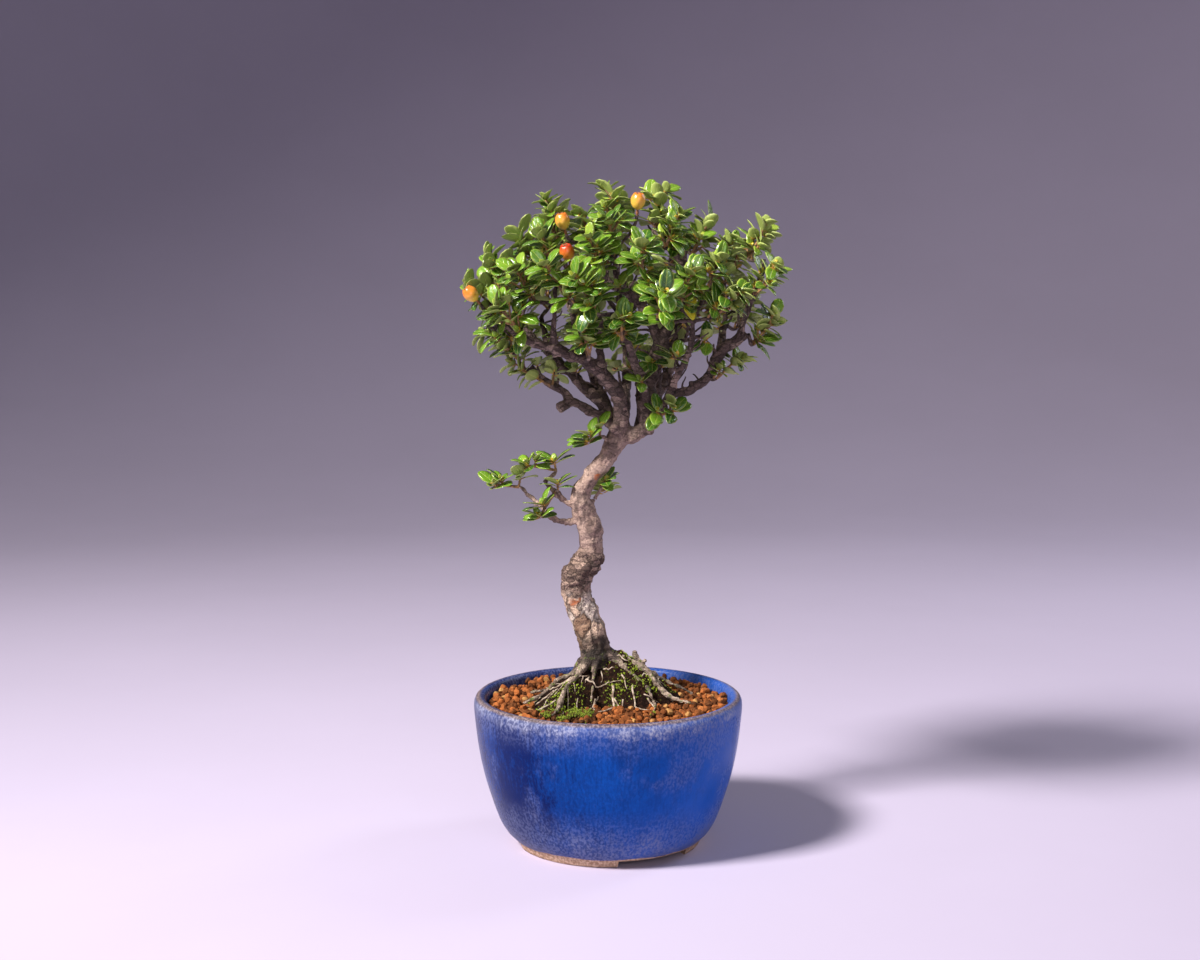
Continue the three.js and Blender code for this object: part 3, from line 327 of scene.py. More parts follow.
# Limbs that the photograph shows, from the fork outwards
LIMBS = {
    "bigLeft": [
        [4.4, -2, 168, 3.6], [5.2, -4, 175.5, 3.2], [4.5, -6, 182.5, 3.05], [0, -8, 191, 2.9],
        [-9, -10, 198, 2.7], [-22, -13, 204, 2.2], [-32.5, -15, 207, 1.75], [-40, -16, 212, 1.4],
        [-43, -16, 211, 1.1], [-46.7, -15, 212.3, 1], [-48, -14, 216.5, 0.9],
    ],
    "bigLeftUpper": [[-22, -13, 204, 1.5], [-21.5, -16, 212, 1.2], [-21, -18, 221, 1.05]],
    "lowLeft": [
        [3.2, 0, 171, 2.85], [-1, 2, 175, 2.5], [-7, 4, 177.5, 2], [-15, 6, 181.5, 1.75],
        [-18, 7, 185.5, 1.65], [-25.7, 7, 190, 1.5], [-31.8, 7, 195.7, 1.1],
    ],
    "backLeft": [
        [3.6, 1, 172, 2.85], [-1, 6, 179, 2.5], [-8.5, 12, 185.5, 2.3], [-16, 18, 193, 2.1],
        [-21, 22, 198, 1.85], [-25, 25, 204, 1.6], [-28, 27, 215, 1],
    ],
    "innerLeft": [
        [-2, -9, 194, 1.7], [-3, -9, 200.5, 1.55], [-3.4, -9, 208, 1.45], [-3, -9, 213.5, 1.35],
        [-5.5, -11, 221, 1.1],
    ],
    "rightArm": [
        [4.8, -2, 167.6, 3.6], [9.5, -2, 168.8, 3.3], [15.5, -2, 172, 2.9], [19.5, -2, 174, 2.5],
    ],
    "centreBack": [
        [13, 2, 171, 2.4], [13.9, 6, 179, 2.2], [13, 11, 189, 2], [9.5, 15, 199, 1.7],
        [6.7, 18, 207, 1.4], [5, 19, 222, 1.2], [3, 17, 236, 1.05], [2, 12, 248, 0.9],
    ],
    "centreThick": [
        [15, -1, 172.5, 3.3], [15.3, -1, 178.5, 3.4], [16.2, 0, 187, 3.3], [18, 1.5, 197, 3.3],
        [21, 3, 205, 3], [25.5, 5, 213, 2.3], [30.5, 7, 220, 1.75], [32.5, 8, 227, 1.45],
        [31, 8, 237, 1.2], [31.5, 8, 244, 1],
    ],
    "centreLeftward": [
        [21, 3, 205, 2.3], [17.5, 2, 213, 2.2], [13, -1, 221, 2.1], [6, -5, 227, 2],
        [-1, -8, 230, 1.7], [-4, -8, 238, 1.3], [-6, -6, 246, 1],
    ],
    "topLeftward": [[31, 8, 236, 1.2], [25, 6, 243, 1.1], [17, 4, 250, 0.9]],
    "bigRight": [
        [18.5, -2, 173.5, 2.4], [20.5, -2, 176.5, 1.75], [22.4, -3, 181, 1.5], [26, -4, 185, 1.7],
        [31.5, -5, 186.3, 1.85], [36.6, -6, 189, 1.95], [40.6, -7, 193, 2], [44.5, -9, 201.8, 2.2],
        [48.5, -9, 205, 2.3], [52.5, -9, 207.3, 1.9], [55.5, -8.5, 208.8, 1.1],
    ],
    "rightUpright": [
        [51.5, -9, 207, 1.6], [54, -9, 214, 1.35], [57, -8, 223, 1.15], [60, -7, 230, 1],
        [62.5, -6, 238, 0.9],
    ],
    "rightCrossing": [
        [22, 3, 203, 1.3], [30, 7, 206, 1], [40, 12, 208.5, 0.95], [48.5, 15, 212, 0.85],
    ],
    "paleTwig": [
        [24.5, -4, 184.5, 1.1], [25.3, -2.5, 188, 1], [25, -2, 195, 0.9], [29.5, -4, 202.5, 0.75],
    ],
    "innerRight": [
        [19, 1, 174, 2.2], [19.9, 4, 182, 2], [20.3, 6, 191, 1.8], [20.7, 6, 199, 1.6],
        [24, 11, 210, 1.3], [26, 14, 222, 1.1],
    ],
}

# Limbs on the sides that the photograph doesn't show
HIDDEN_LIMBS = {
    "backLeftFar": [
        [3, 2, 171, 2.5], [-2, 11, 182, 2.3], [-8, 21, 196, 1.9], [-13, 30, 209, 1.4],
        [-16, 34, 221, 1],
    ],
    "backCentre": [
        [6, 2, 171.5, 2.6], [7, 13, 184, 2.4], [8, 25, 199, 1.9], [8, 34, 214, 1.4],
        [7, 38, 227, 1],
    ],
    "backRight": [
        [15, 1, 174, 2.4], [22, 12, 187, 2.2], [29, 22, 201, 1.7], [34, 29, 214, 1.3],
        [37, 31, 224, 0.95],
    ],
    "frontCentre": [
        [15.5, -1, 181, 2], [12, -12, 194, 1.8], [7, -21, 207, 1.4], [4, -27, 217, 1.05],
    ],
    "frontRight": [
        [22.4, -3, 181, 1.5], [27, -13, 192, 1.5], [32, -20, 204, 1.2], [33, -23, 214, 0.95],
    ],
    "sideRight": [
        [40.6, -7, 193, 1.7], [45, 4, 202, 1.5], [48, 14, 213, 1.2], [49, 19, 224, 0.95],
    ],
    "sideLeft": [
        [-16, 18, 193, 1.7], [-25, 20, 201, 1.4], [-34, 19, 211, 1.2], [-39, 17, 222, 0.9],
    ],
}

# Low twigs on the trunk and at the fork
LOW_TWIGS = {
    "lowBranch": [
        [-9, -1.5, 134, 1.7], [-13.5, -2, 133.2, 1.3], [-19, -3, 133.2, 1.2],
        [-22.4, -3, 134.5, 1.1], [-25.6, -2, 137.6, 1], [-30, 1, 141.5, 0.9], [-34, 3, 144, 0.8],
    ],
    "lowBranchUpper": [
        [-11, -2, 139, 1.4], [-16, -2, 140.5, 1.2], [-21.5, -1, 145, 1.1], [-25.8, 0, 148.8, 0.95],
    ],
    "trunkRightTwig": [[-8, -1.5, 139.5, 1.2], [-5.4, 1, 142, 0.9]],
    "forkLeftTwig": [[2.5, -3, 166.5, 1.3], [-1, -4.5, 165.8, 0.9]],
    "forkRightTwig": [[14, -3, 171, 1.3], [18, -5.5, 173.5, 0.9]],
}

# Knots and cut stubs
STUBS = {
    "stubAtFork": [[5, -4, 168, 2.4], [2.5, -6.5, 170.5, 2.2], [1.2, -8, 172.8, 2]],
    "stubLowLeft": [[-15, 6, 181.5, 2], [-18.5, 4, 179.8, 2.3], [-20.5, 3, 178.8, 1.9]],
    "stubUnderArm": [[9.5, -3, 168.5, 2.6], [11, -4.5, 166, 2.3]],
    "knotRight": [[-7, 0, 118, 3], [-2.6, -1.5, 117.5, 2.2]],
    "knotLeft": [[-11, 0.5, 108, 4], [-16.5, -1, 108.6, 3.2]],
    "stubBackLow": [[-9, 2, 96, 3], [-8, 8.5, 98.5, 2.2]],
}

# Surface roots, each point as x, y and radius, laid over the mound
ROOT_START_Z = 78
ROOT_CLEARANCE = 1.05
ROOT_OVER_SOIL = 1.5
ROOTS = {
    "bigLeft": [[-6, 2, 2.8], [-13, 1, 2.2], [-20, -3, 1.6], [-27, -9, 1.1], [-34, -14, 0.6]],
    "frontLeft": [[-6, 0, 2.4], [-12, -8, 1.7], [-17, -16, 1.4], [-20, -24, 1.1], [-22, -34, 0.6]],
    "frontShort": [[-4, 0, 2.2], [-6, -8, 1.3], [-7, -19, 0.6]],
    "bigRight": [[-2, 3, 3.2], [7, 0, 2.6], [16, -2, 2.2], [23, -6, 1.7], [29, -10, 1.1],
                 [35, -15, 0.6]],
    "frontRight": [[-1, 2, 2.4], [8, -4, 1.5], [16, -8, 1.2], [19, -19, 0.6]],
    "left": [[-7, 3, 2.6], [-16, 7, 1.8], [-23, 7, 1.2], [-32, 5, 0.6]],
    "backLeft": [[-6, 5, 2.6], [-13, 14, 1.6], [-20, 25, 0.7]],
    "back": [[-4, 5, 2.4], [-2, 15, 1.5], [1, 26, 0.7]],
    "backRight": [[-2, 5, 2.6], [8, 13, 1.8], [20, 24, 0.7]],
    "shoulder": [[-1, 4, 2.4], [10, 7, 1.6], [21, 7, 1.1], [35, 3, 0.6]],
}

# Sprays of leaves and berries: centre of each
CANOPY_CENTRE = np.array([5.0, 0.0, 196.0])
EDGE_SPRAYS = {
    "rightTip": [59, -5, 245], "rightHigh": [62, -15, 230], "rightReach": [62, -7, 210],
    "rightCrown": [37, 9, 247], "crownTop": [19, 1, 258], "crownLeft": [2, 2, 259],
    "leftTop": [-22, -2, 254], "leftCrown": [-33, 5, 243], "leftShoulder": [-44, -3, 232],
    "leftTip": [-48, -7, 222], "leftEdge": [-43, -11, 206], "frontHigh": [-5, -29, 238],
    "frontMiddle": [-8, -38, 224], "frontRight": [20, -38, 221],
}
FRONT_SPRAYS = {
    "rightFront": [47, -25, 222], "rightUpper": [41, -17, 233], "rightShoulder": [46, 2, 240],
    "rightLow": [48, -8, 196], "centreRight": [30, -28, 228], "crownRight": [25, -10, 250],
    "crownFront": [1, -20, 248], "crownInner": [-9, -7, 250], "frontRightHigh": [13, -31, 237],
    "frontLow": [5, -34, 212], "innerLeft": [-9, -23, 207], "leftUpper": [-24, -20, 242],
    "leftFront": [-33, -23, 229], "leftMiddle": [-20, -34, 230], "leftGlossy": [-38, -25, 215],
    "leftLow": [-38, 7, 200], "leftLowest": [-29, 6, 191],
}
BACK_SPRAYS = {
    "backLeftHigh": [-20, 22, 250], "backTop": [4, 26, 256], "backRightHigh": [27, 26, 247],
    "backRightSide": [52, 22, 236], "backLeftSide": [-44, 19, 228], "backLeft": [-27, 38, 228],
    "backCentre": [-3, 44, 236], "backMiddle": [20, 43, 230], "backRight": [41, 34, 222],
    "backRightEdge": [57, 26, 218], "backLeftLow": [-36, 32, 208], "backLow": [-10, 43, 212],
    "backLowRight": [25, 38, 206],
}
LOW_SPRAYS = {
    "lowOuter": [-42, 5, 147], "lowMiddle": [-25, -5, 140], "lowUpper": [-28, 0, 155],
}
SMALL_SPRAYS = {
    "trunkRight": [-2, 4, 146], "forkLeft": [-6, -6, 167], "forkRight": [24, -8, 178],
}
BERRIES = {
    "berryLeft": [-54, -17, 225], "berryUpper": [-18, -14, 253.5], "berryTop": [11.5, -19, 261],
    "berryFront": [-16, -27, 241], "berryBack": [12, 34, 249],
}

# Shoots and leaves, with the solids' own rules
TWIG_TIP_RADIUS = 0.6
TWIG_SPREAD = 0.03
TWIG_LEAST = 4
TIP_FAVOUR = 0.75
TURN_COST = 0.5
TWIG_TAPER = 0.85
TWIG_MORE_RADIUS = 0.15
LEAVE_FORWARD = 0.12
LEAVE_TOWARDS = 0.18
ARRIVE_STRAIGHT = 0.35
SHOOT_LENGTH = 11
MOST_LEAVES = 6
SHOOT_RADIUS = 0.85
SHOOT_GAP = 0.6
SHOOT_BACK = 0.6
OUTWARD_PULL = 0.75
UPWARD_PULL = 0.6
HEADING_JITTER = 0.25
UPWARD_JITTER = 0.15
LEAFY_SHARE = 0.72
LEAF_MIN_LENGTH = 7.6
LEAF_LENGTH_RANGE = 1.8
LEAF_WIDTH_RATIO = 0.62
LEAF_THICKNESS = 0.6
LEAF_ARCH = 0.14
LEAF_TOP_TILT = 0.6
LEAF_TILT_RANGE = 0.75
LEAF_LIFT = 0.2
LEAF_TURN_JITTER = 0.3
LEAF_MARGIN = 0.7
LEAF_CLEARANCE = 1.15
GOLDEN_ANGLE = 2.39996
LEAF_TRIES = 10
TRY_SWING = 0.28
TRY_TILT = 0.04
TRY_SHRINK = 0.02
LEAF_NEAR = 12
BERRY_RADIUS = 3.3
BERRY_STALK = 2
BERRY_UPWARD = 0.5
LEAF_PROBES = np.array([
    [0.25, -0.3], [0.25, 0.3], [0.4, -0.48], [0.4, 0], [0.4, 0.48], [0.58, -0.5],
    [0.58, -0.2], [0.58, 0.2], [0.58, 0.5], [0.76, -0.4], [0.76, 0], [0.76, 0.4],
    [0.9, -0.2], [0.9, 0.2], [1, 0],
])
UP = np.array([0.0, 0.0, 1.0])


class Stream:
    """A repeatable run of numbers, the one that also sets the solids' leaves."""

    def __init__(self, seed):
        self.state = seed

    def draw(self, low=0.0, high=1.0):
        self.state = (self.state * 1664525 + 1013904223) % 4294967296
        return low + (high - low) * self.state / 4294967296

    def draws(self, low, high):
        return np.array([self.draw(low, high) for axis in "xyz"])

    def pick(self, choices):
        return int(self.draw(0, len(choices)))


def clamp(value, low=0.0, high=1.0):
    return min(high, max(low, value))


def part_way(value, low, high):
    """How far a value is on its way from low to high, from 0 to 1."""
    return clamp((value - low) / (high - low))


def unit(vector):
    return vector / np.linalg.norm(vector)


def line_length(places):
    return np.linalg.norm(np.diff(places, axis=0), axis=1).sum()


def noise_at(x, y, z):
    return noise.noise(Vector((x, y, z)))


def swing(attempt, step):
    """To one side and the other in turn, wider at each attempt."""
    return (-1) ** attempt * step * attempt


def row_places(points):
    """Millimetres from the pot's axis to metres in the row frame."""
    return (np.asarray(points, float) + (AXIS_SHIFT, 0, 0)) * MM


# Lines
def smooth_place(points, along, closed=False):
    """Place on the smooth line through points, from 0 at the first to 1 at the last."""
    count = len(points)
    reach = (count if closed else count - 1) * along
    index = math.floor(reach)
    share = reach - index
    if not closed and share == 0 and index == count - 1:
        index, share = count - 2, 1.0
    first, second = points[index % count], points[(index + 1) % count]
    if closed or index > 0:
        before = points[(index - 1) % count]
    else:
        before = 2 * first - second
    if closed or index + 2 < count:
        after = points[(index + 2) % count]
    else:
        after = 2 * second - first
    leave, arrive = 0.5 * (second - before), 0.5 * (after - first)
    square = -3 * first + 3 * second - 2 * leave - arrive
    cube = 2 * first - 2 * second + leave + arrive
    return first + leave * share + square * share**2 + cube * share**3


def smooth_heading(points, along):
    step = 0.0001
    start = smooth_place(points, max(0.0, along - step))
    return unit(smooth_place(points, min(1.0, along + step)) - start)


def radius_at(points, along):
    place = along * (len(points) - 1)
    index = min(math.floor(place), len(points) - 2)
    share = place - index
    return points[index][3] * (1 - share) + points[index + 1][3] * share


def bezier_place(corners, share):
    a, b, c, d = corners
    rest = 1 - share
    return rest**3 * a + 3 * rest**2 * share * b + 3 * rest * share**2 * c + share**3 * d


# Ground
def mound_reach(angle):
    turn = angle / (2 * math.pi)
    reaches = [np.array([float(reach)]) for reach in MOUND_REACH]
    return smooth_place(reaches, turn - math.floor(turn), closed=True)[0]


def mound_share(x, y):
    """Distance from the trunk's foot as a share of the mound's reach on that side."""
    across, deep = x - TRUNK_FOOT[0], y - TRUNK_FOOT[1]
    return math.hypot(across, deep) / mound_reach(math.atan2(deep, across))


def mound_height(x, y):
    height = MOUND_LEAST_RISE - MOUND_EDGE_RISE
    for lobe_x, lobe_y, rise, wide, long in MOUND_LOBES:
        across, deep = (x - lobe_x) / wide, (y - lobe_y) / long
        height += rise * math.exp(-across * across - deep * deep)
    edge = clamp((1 - mound_share(x, y)) * MOUND_EDGE_STEEPNESS)
    return SOIL_LEVEL + MOUND_EDGE_RISE + height * edge


def ground_height(x, y):
    return mound_height(x, y) if mound_share(x, y) < 1 else SOIL_LEVEL + ROOT_OVER_SOIL


def root_line(plan):
    points = []
    for index, (x, y, radius) in enumerate(plan):
        above = ground_height(x, y) + radius + ROOT_CLEARANCE
        points.append([x, y, ROOT_START_Z if index == 0 else above, radius])
    return np.array(points, float)


# Skeleton
class Limb:
    """A limb or twig: points as x, y, z and radius, which a twig may lengthen."""

    def __init__(self, points):
        self.points = np.array(points, float)
        self.planned = len(self.points)

    def stations(self):
        """Places where a twig may leave, with their direction and radius."""
        points, count = self.points, 3 * (len(self.points) - 1)
        places = points[:, :3]
        found = []
        for step in range(1, count + 1):
            along = step / count
            found.append({
                "place": smooth_place(places, along),
                "forward": smooth_heading(places, along),
                "radius": radius_at(points, along),
                "tip_of": self if step == count else None,
            })
        return found

    def bars(self, owner=-1):
        rows = []
        for start, end in zip(self.points[:-1], self.points[1:]):
            rows.append([*start[:3], *end[:3], max(start[3], end[3]), owner])
        return rows


def best_station(stations, target):
    """The station that a twig to a given place grows from most naturally."""
    places = np.array([station["place"] for station in stations])
    forwards = np.array([station["forward"] for station in stations])
    tips = np.array([station["tip_of"] is not None for station in stations])
    ways = target - places
    distances = np.linalg.norm(ways, axis=1)
    along = (ways * forwards).sum(1) / np.maximum(distances, 1e-6)
    costs = distances * (1 + TURN_COST * (1 - along)) * np.where(tips, TIP_FAVOUR, 1)
    costs[distances <= TWIG_LEAST] = np.inf
    return stations[int(np.argmin(costs))]


def make_twig(station, foot, heading):
    """Twig from a limb to the foot of a shoot: its three points and its four corners."""
    start = station["place"]
    distance = np.linalg.norm(foot - start)
    leave = start + station["forward"] * distance * LEAVE_FORWARD
    leave = leave + (foot - start) * LEAVE_TOWARDS
    arrive = foot - heading * distance * ARRIVE_STRAIGHT
    corners = (start, leave, arrive, foot)
    widest = TWIG_TIP_RADIUS + TWIG_MORE_RADIUS + distance * TWIG_SPREAD
    wide = min(station["radius"] * TWIG_TAPER, widest)
    points = []
    for share in (0.0, 0.5, 1.0):
        radius = wide + (TWIG_TIP_RADIUS - wide) * share
        points.append([*bezier_place(corners, share), radius])
    return Limb(points), corners, wide


def square_to(direction):
    """Two directions square to a given one, the first as level as it can be."""
    level = np.cross(UP, direction)
    if np.linalg.norm(level) < 0.05:
        level = np.array([1.0, 0.0, 0.0])
    level = unit(level)
    return level, np.cross(direction, level)


def way_round(direction, turn):
    """The direction square to a given one, at an angle round it."""
    level, upper = square_to(direction)
    return level * math.cos(turn) + upper * math.sin(turn)


def leaf_frame(foot, heading, turn, tilt, length):
    """Leaf: where it starts, its length and its three directions."""
    out = way_round(heading, turn)
    along = heading * math.cos(tilt) + out * math.sin(tilt)
    face = heading + UP * LEAF_LIFT
    face = unit(face - along * np.dot(face, along))
    return {"foot": foot, "along": along, "face": face, "across": np.cross(face, along),
            "length": length}


def leaf_places(leaf, spots):
    """Places on a leaf by their shares of its length and their offsets to the side."""
    shares, offsets = spots[:, :1], spots[:, 1:]
    length = leaf["length"]
    places = leaf["foot"] + shares * leaf["along"] * length
    places = places + offsets * leaf["across"] * length * LEAF_WIDTH_RATIO
    return places - shares**2 * leaf["face"] * LEAF_ARCH * length


def inside_leaf(leaf, places, margin, clearance):
    """Which places lie within a leaf's thin slab. Leaf values may be rows for many leaves."""
    way = places - leaf["foot"]
    length = leaf["length"]
    share = (way * leaf["along"]).sum(-1) / length
    side = (way * leaf["across"]).sum(-1)
    lift = (way * leaf["face"]).sum(-1) + LEAF_ARCH * length * share**2
    longways = (share - 0.5) / (0.5 + margin / length)
    sideways = side / (length * LEAF_WIDTH_RATIO / 2 + margin)
    return (longways**2 + sideways**2 < 1) & (np.abs(lift) < clearance)


class Growth:
    """The wood, berries and leaves so far, as rows, so that a new leaf is tried fast."""

    def __init__(self):
        self.bars = []
        self.balls = np.zeros((0, 3))
        self.leaves = []
        self.limbs = []
        self.twigs = []
        self.rows = {key: np.zeros((0, 1, 3)) for key in ("foot", "along", "face", "across")}
        self.rows["length"] = np.zeros((0, 1))
        self.probes = np.zeros((0, len(LEAF_PROBES), 3))
        self.middles = np.zeros((0, 3))
        self.owners = np.zeros(0)

    def settle_bars(self):
        rows = np.array(self.bars, float)
        self.bar_start, self.bar_way = rows[:, 0:3], rows[:, 3:6] - rows[:, 0:3]
        self.bar_square = (self.bar_way**2).sum(1)
        self.bar_radius, self.bar_owner = rows[:, 6], rows[:, 7]

    def bar_distances(self, place, chosen=slice(None)):
        start, way = self.bar_start[chosen], self.bar_way[chosen]
        share = ((place - start) * way).sum(1) / self.bar_square[chosen]
        nearest = start + way * np.clip(share, 0, 1)[:, None]
        return np.linalg.norm(place - nearest, axis=1) - self.bar_radius[chosen]

    def clear_of_bars(self, leaf, probes, middle, owner, clearance):
        near = (self.bar_distances(middle) < leaf["length"]) & (self.bar_owner != owner)
        if not near.any():
            return True
        return all((self.bar_distances(probe, near) >= clearance).all() for probe in probes)

    def clear_of_leaves(self, leaf, probes, middle, owner, margin, clearance):
        near = np.linalg.norm(self.middles - middle, axis=1) < LEAF_NEAR
        if not near.any():
            return True
        same = (self.owners[near] == owner)[:, None]
        margins = np.where(same, 0.0, margin)
        clearances = np.where(same, min(LEAF_THICKNESS, clearance), clearance)
        used = ~same | (LEAF_PROBES[:, 0] > 0.3)
        mine = inside_leaf(leaf, self.probes[near], margins, clearances)
        others = {key: rows[near] for key, rows in self.rows.items()}
        theirs = inside_leaf(others, probes[None], margins, clearances)
        return not ((mine | theirs) & used).any()

    def fits(self, leaf, owner, margin, clearance):
        """Whether a new leaf keeps clear of wood, shoots, berries and other leaves."""
        probes = leaf_places(leaf, LEAF_PROBES)
        middle = leaf_places(leaf, np.array([[0.5, 0.0]]))[0]
        if not self.clear_of_bars(leaf, probes, middle, owner, clearance):
            return False
        ways = probes[:, None] - self.balls[None]
        if (np.linalg.norm(ways, axis=-1) < BERRY_RADIUS + clearance).any():
            return False
        return self.clear_of_leaves(leaf, probes, middle, owner, margin, clearance)

    def add(self, leaf, owner):
        leaf["owner"] = owner
        self.leaves.append(leaf)
        for key, rows in self.rows.items():
            shape = (1, 1) if key == "length" else (1, 1, 3)
            self.rows[key] = np.concatenate([rows, np.reshape(leaf[key], shape)])
        probes = leaf_places(leaf, LEAF_PROBES)[None]
        self.probes = np.concatenate([self.probes, probes])
        middle = leaf_places(leaf, np.array([[0.5, 0.0]]))
        self.middles = np.concatenate([self.middles, middle])
        self.owners = np.append(self.owners, owner)

    def drop_leaves(self, owner):
        """Takes a spray's leaves away again, to set them another way."""
        kept = self.owners != owner
        self.leaves = [leaf for leaf in self.leaves if leaf["owner"] != owner]
        self.rows = {key: rows[kept] for key, rows in self.rows.items()}
        self.probes, self.middles = self.probes[kept], self.middles[kept]
        self.owners = self.owners[kept]


def make_spray(name, centre, index, length, leaves, low, size):
    random = Stream(SEED + 1000 * (index + 1))
    centre = np.array(centre, float)
    heading = unit(centre - CANOPY_CENTRE) * OUTWARD_PULL + UP * UPWARD_PULL
    jitter = [HEADING_JITTER, HEADING_JITTER, UPWARD_JITTER]
    heading = unit(heading + np.array([random.draw(-most, most) for most in jitter]))
    foot = centre - heading * length * SHOOT_BACK
    phase = random.draw(0, 2 * math.pi)
    return {"name": name, "index": index, "heading": heading, "foot": foot,
            "random": random, "phase": phase, "length": length, "leaves": leaves, "low": low,
            "size": size}


# Each group of sprays, with its length, its leaves, whether it is low, and its size
SPRAY_GROUPS = [
    (EDGE_SPRAYS, SHOOT_LENGTH, MOST_LEAVES, False, 1.0),
    (FRONT_SPRAYS, SHOOT_LENGTH, 5, False, 1.0),
    (BACK_SPRAYS, SHOOT_LENGTH, 5, False, 1.0),
    (LOW_SPRAYS, SHOOT_LENGTH, MOST_LEAVES, True, 1.0),
    (SMALL_SPRAYS, 5, 4, True, 0.2),
]


def make_sprays():
    sprays = []
    for places, *kind in SPRAY_GROUPS:
        for name, centre in places.items():
            sprays.append(make_spray(name, centre, len(sprays), *kind))
    return sprays


def make_berries():
    berries = []
    for name, centre in BERRIES.items():
        place = np.array(centre, float)
        heading = unit(unit(place - CANOPY_CENTRE) + UP * BERRY_UPWARD)
        foot = place - heading * (BERRY_RADIUS + BERRY_STALK)
        berries.append({"name": name, "centre": place, "heading": heading, "foot": foot})
    return berries


def grow_twig(stations, target, growth):
    """Twig to a spray or berry: it lengthens a limb from its tip, or leaves it."""
    station = best_station(stations, target["foot"])
    twig, corners, wide = make_twig(station, target["foot"], target["heading"])
    growth.bars.extend(twig.bars())
    growth.twigs.append((corners, wide))
    target["corners"] = corners
    if station["tip_of"]:
        limb = station["tip_of"]
        limb.points = np.concatenate([limb.points, twig.points[1:]])
        station["tip_of"] = None
    return twig


def grow_wood(growth, sprays, berries):
    """The skeleton: limbs first, then a twig to every spray and berry."""
    crown = [Limb(points) for points in [*LIMBS.values(), *HIDDEN_LIMBS.values()]]
    low = [Limb(points) for points in LOW_TWIGS.values()]
    stubs = [Limb(points) for points in STUBS.values()]
    stations = [station for limb in crown for station in limb.stations()]
    low_stations = [station for limb in low for station in limb.stations()]
    growth.limbs = [Limb(TRUNK), *crown, *low, *stubs]
    for limb in growth.limbs:
        growth.bars.extend(limb.bars())
    for spray in sprays:
        pool = low_stations if spray["low"] else stations
        twig = grow_twig(pool, spray, growth)
        pool.extend(twig.stations()[2:5])
    for berry in berries:
        grow_twig(stations, berry, growth)


def grow_shoots(growth, sprays):
    for spray in sprays:
        start = spray["foot"] + spray["heading"] * SHOOT_GAP
        end = start + spray["heading"] * spray["length"]
        spray["shoot"] = (start, end)
        growth.bars.append([*start, *end, SHOOT_RADIUS, spray["index"]])


def grow_leaf(growth, spray, count, down):
    """One more leaf on a shoot: the first of several turns and tilts that keeps clear."""
    random, heading = spray["random"], spray["heading"]
    start, end = spray["shoot"]
    foot = end + (start - end) * LEAFY_SHARE * down
    tilt = LEAF_TOP_TILT + LEAF_TILT_RANGE * down
    jitter = random.draw(-LEAF_TURN_JITTER, LEAF_TURN_JITTER)
    turn = count * GOLDEN_ANGLE + jitter + spray["phase"]
    length = LEAF_MIN_LENGTH + LEAF_LENGTH_RANGE * random.draw() * spray["size"]
    for attempt in range(LEAF_TRIES):
        leaf = leaf_frame(foot, heading, turn + swing(attempt, TRY_SWING),
                          tilt - TRY_TILT * attempt, length * (1 - TRY_SHRINK * attempt))
        if growth.fits(leaf, spray["index"], LEAF_MARGIN, LEAF_CLEARANCE):
            growth.add(leaf, spray["index"])
            return


def grow_leaves(growth, sprays):
    """Leaves, one round of all sprays after another so that none is crowded out."""
    for round_index in range(MOST_LEAVES):
        for spray in sprays:
            if round_index < spray["leaves"]:
                grow_leaf(growth, spray, round_index, round_index / (spray["leaves"] - 1))


def node_name(name):
    """rightTip becomes right_tip."""
    return "".join("_" + letter.lower() if letter.isupper() else letter for letter in name)


def grown_plant():
    """The plant as the solids have it: the same wood, shoots and leaves."""
    growth, sprays, berries = Growth(), make_sprays(), make_berries()
    growth.balls = np.array([berry["centre"] for berry in berries])
    grow_wood(growth, sprays, berries)
    grow_shoots(growth, sprays)
    growth.settle_bars()
    grow_leaves(growth, sprays)
    return growth, sprays


# Modelling
def select_only(obj):
    if bpy.context.object and bpy.context.object.mode != "OBJECT":
        bpy.ops.object.mode_set(mode="OBJECT")
    bpy.ops.object.select_all(action="DESELECT")
    if obj is not None:
        obj.select_set(True)
        bpy.context.view_layer.objects.active = obj


@contextmanager
def editing(obj):
    """Edit mode with everything selected, and object mode again after it."""
    select_only(obj)
    bpy.ops.object.mode_set(mode="EDIT")
    bpy.ops.mesh.select_all(action="SELECT")
    yield
    bpy.ops.object.mode_set(mode="OBJECT")


def vertex_places(obj):
    places = np.zeros(len(obj.data.vertices) * 3)
    obj.data.vertices.foreach_get("co", places)
    return places.reshape(-1, 3)


def move_vertices(obj, places):
    obj.data.vertices.foreach_set("co", np.asarray(places, float).ravel())
    obj.data.update()


def set_mark(mesh, name, domain, values):
    """Writes one number for each point or face of a mesh, for its material to read."""
    mesh.attributes.new(name, "FLOAT", domain).data.foreach_set("value", values)


def apply_modifiers(obj):
    select_only(obj)
    for modifier in list(obj.modifiers):
        bpy.ops.object.modifier_apply(modifier=modifier.name)


def apply_transform():
    bpy.ops.object.transform_apply(location=True, rotation=True, scale=True)


def merge_doubles(obj):
    """Merges vertices that coincide, and turns all faces outwards."""
    with editing(obj):
        bpy.ops.mesh.remove_doubles(threshold=MERGE_DISTANCE)
        bpy.ops.mesh.normals_make_consistent(inside=False)


def join(objects):
    select_only(objects[0])
    for obj in objects[1:]:
        obj.select_set(True)
    bpy.ops.object.join()
    return bpy.context.object


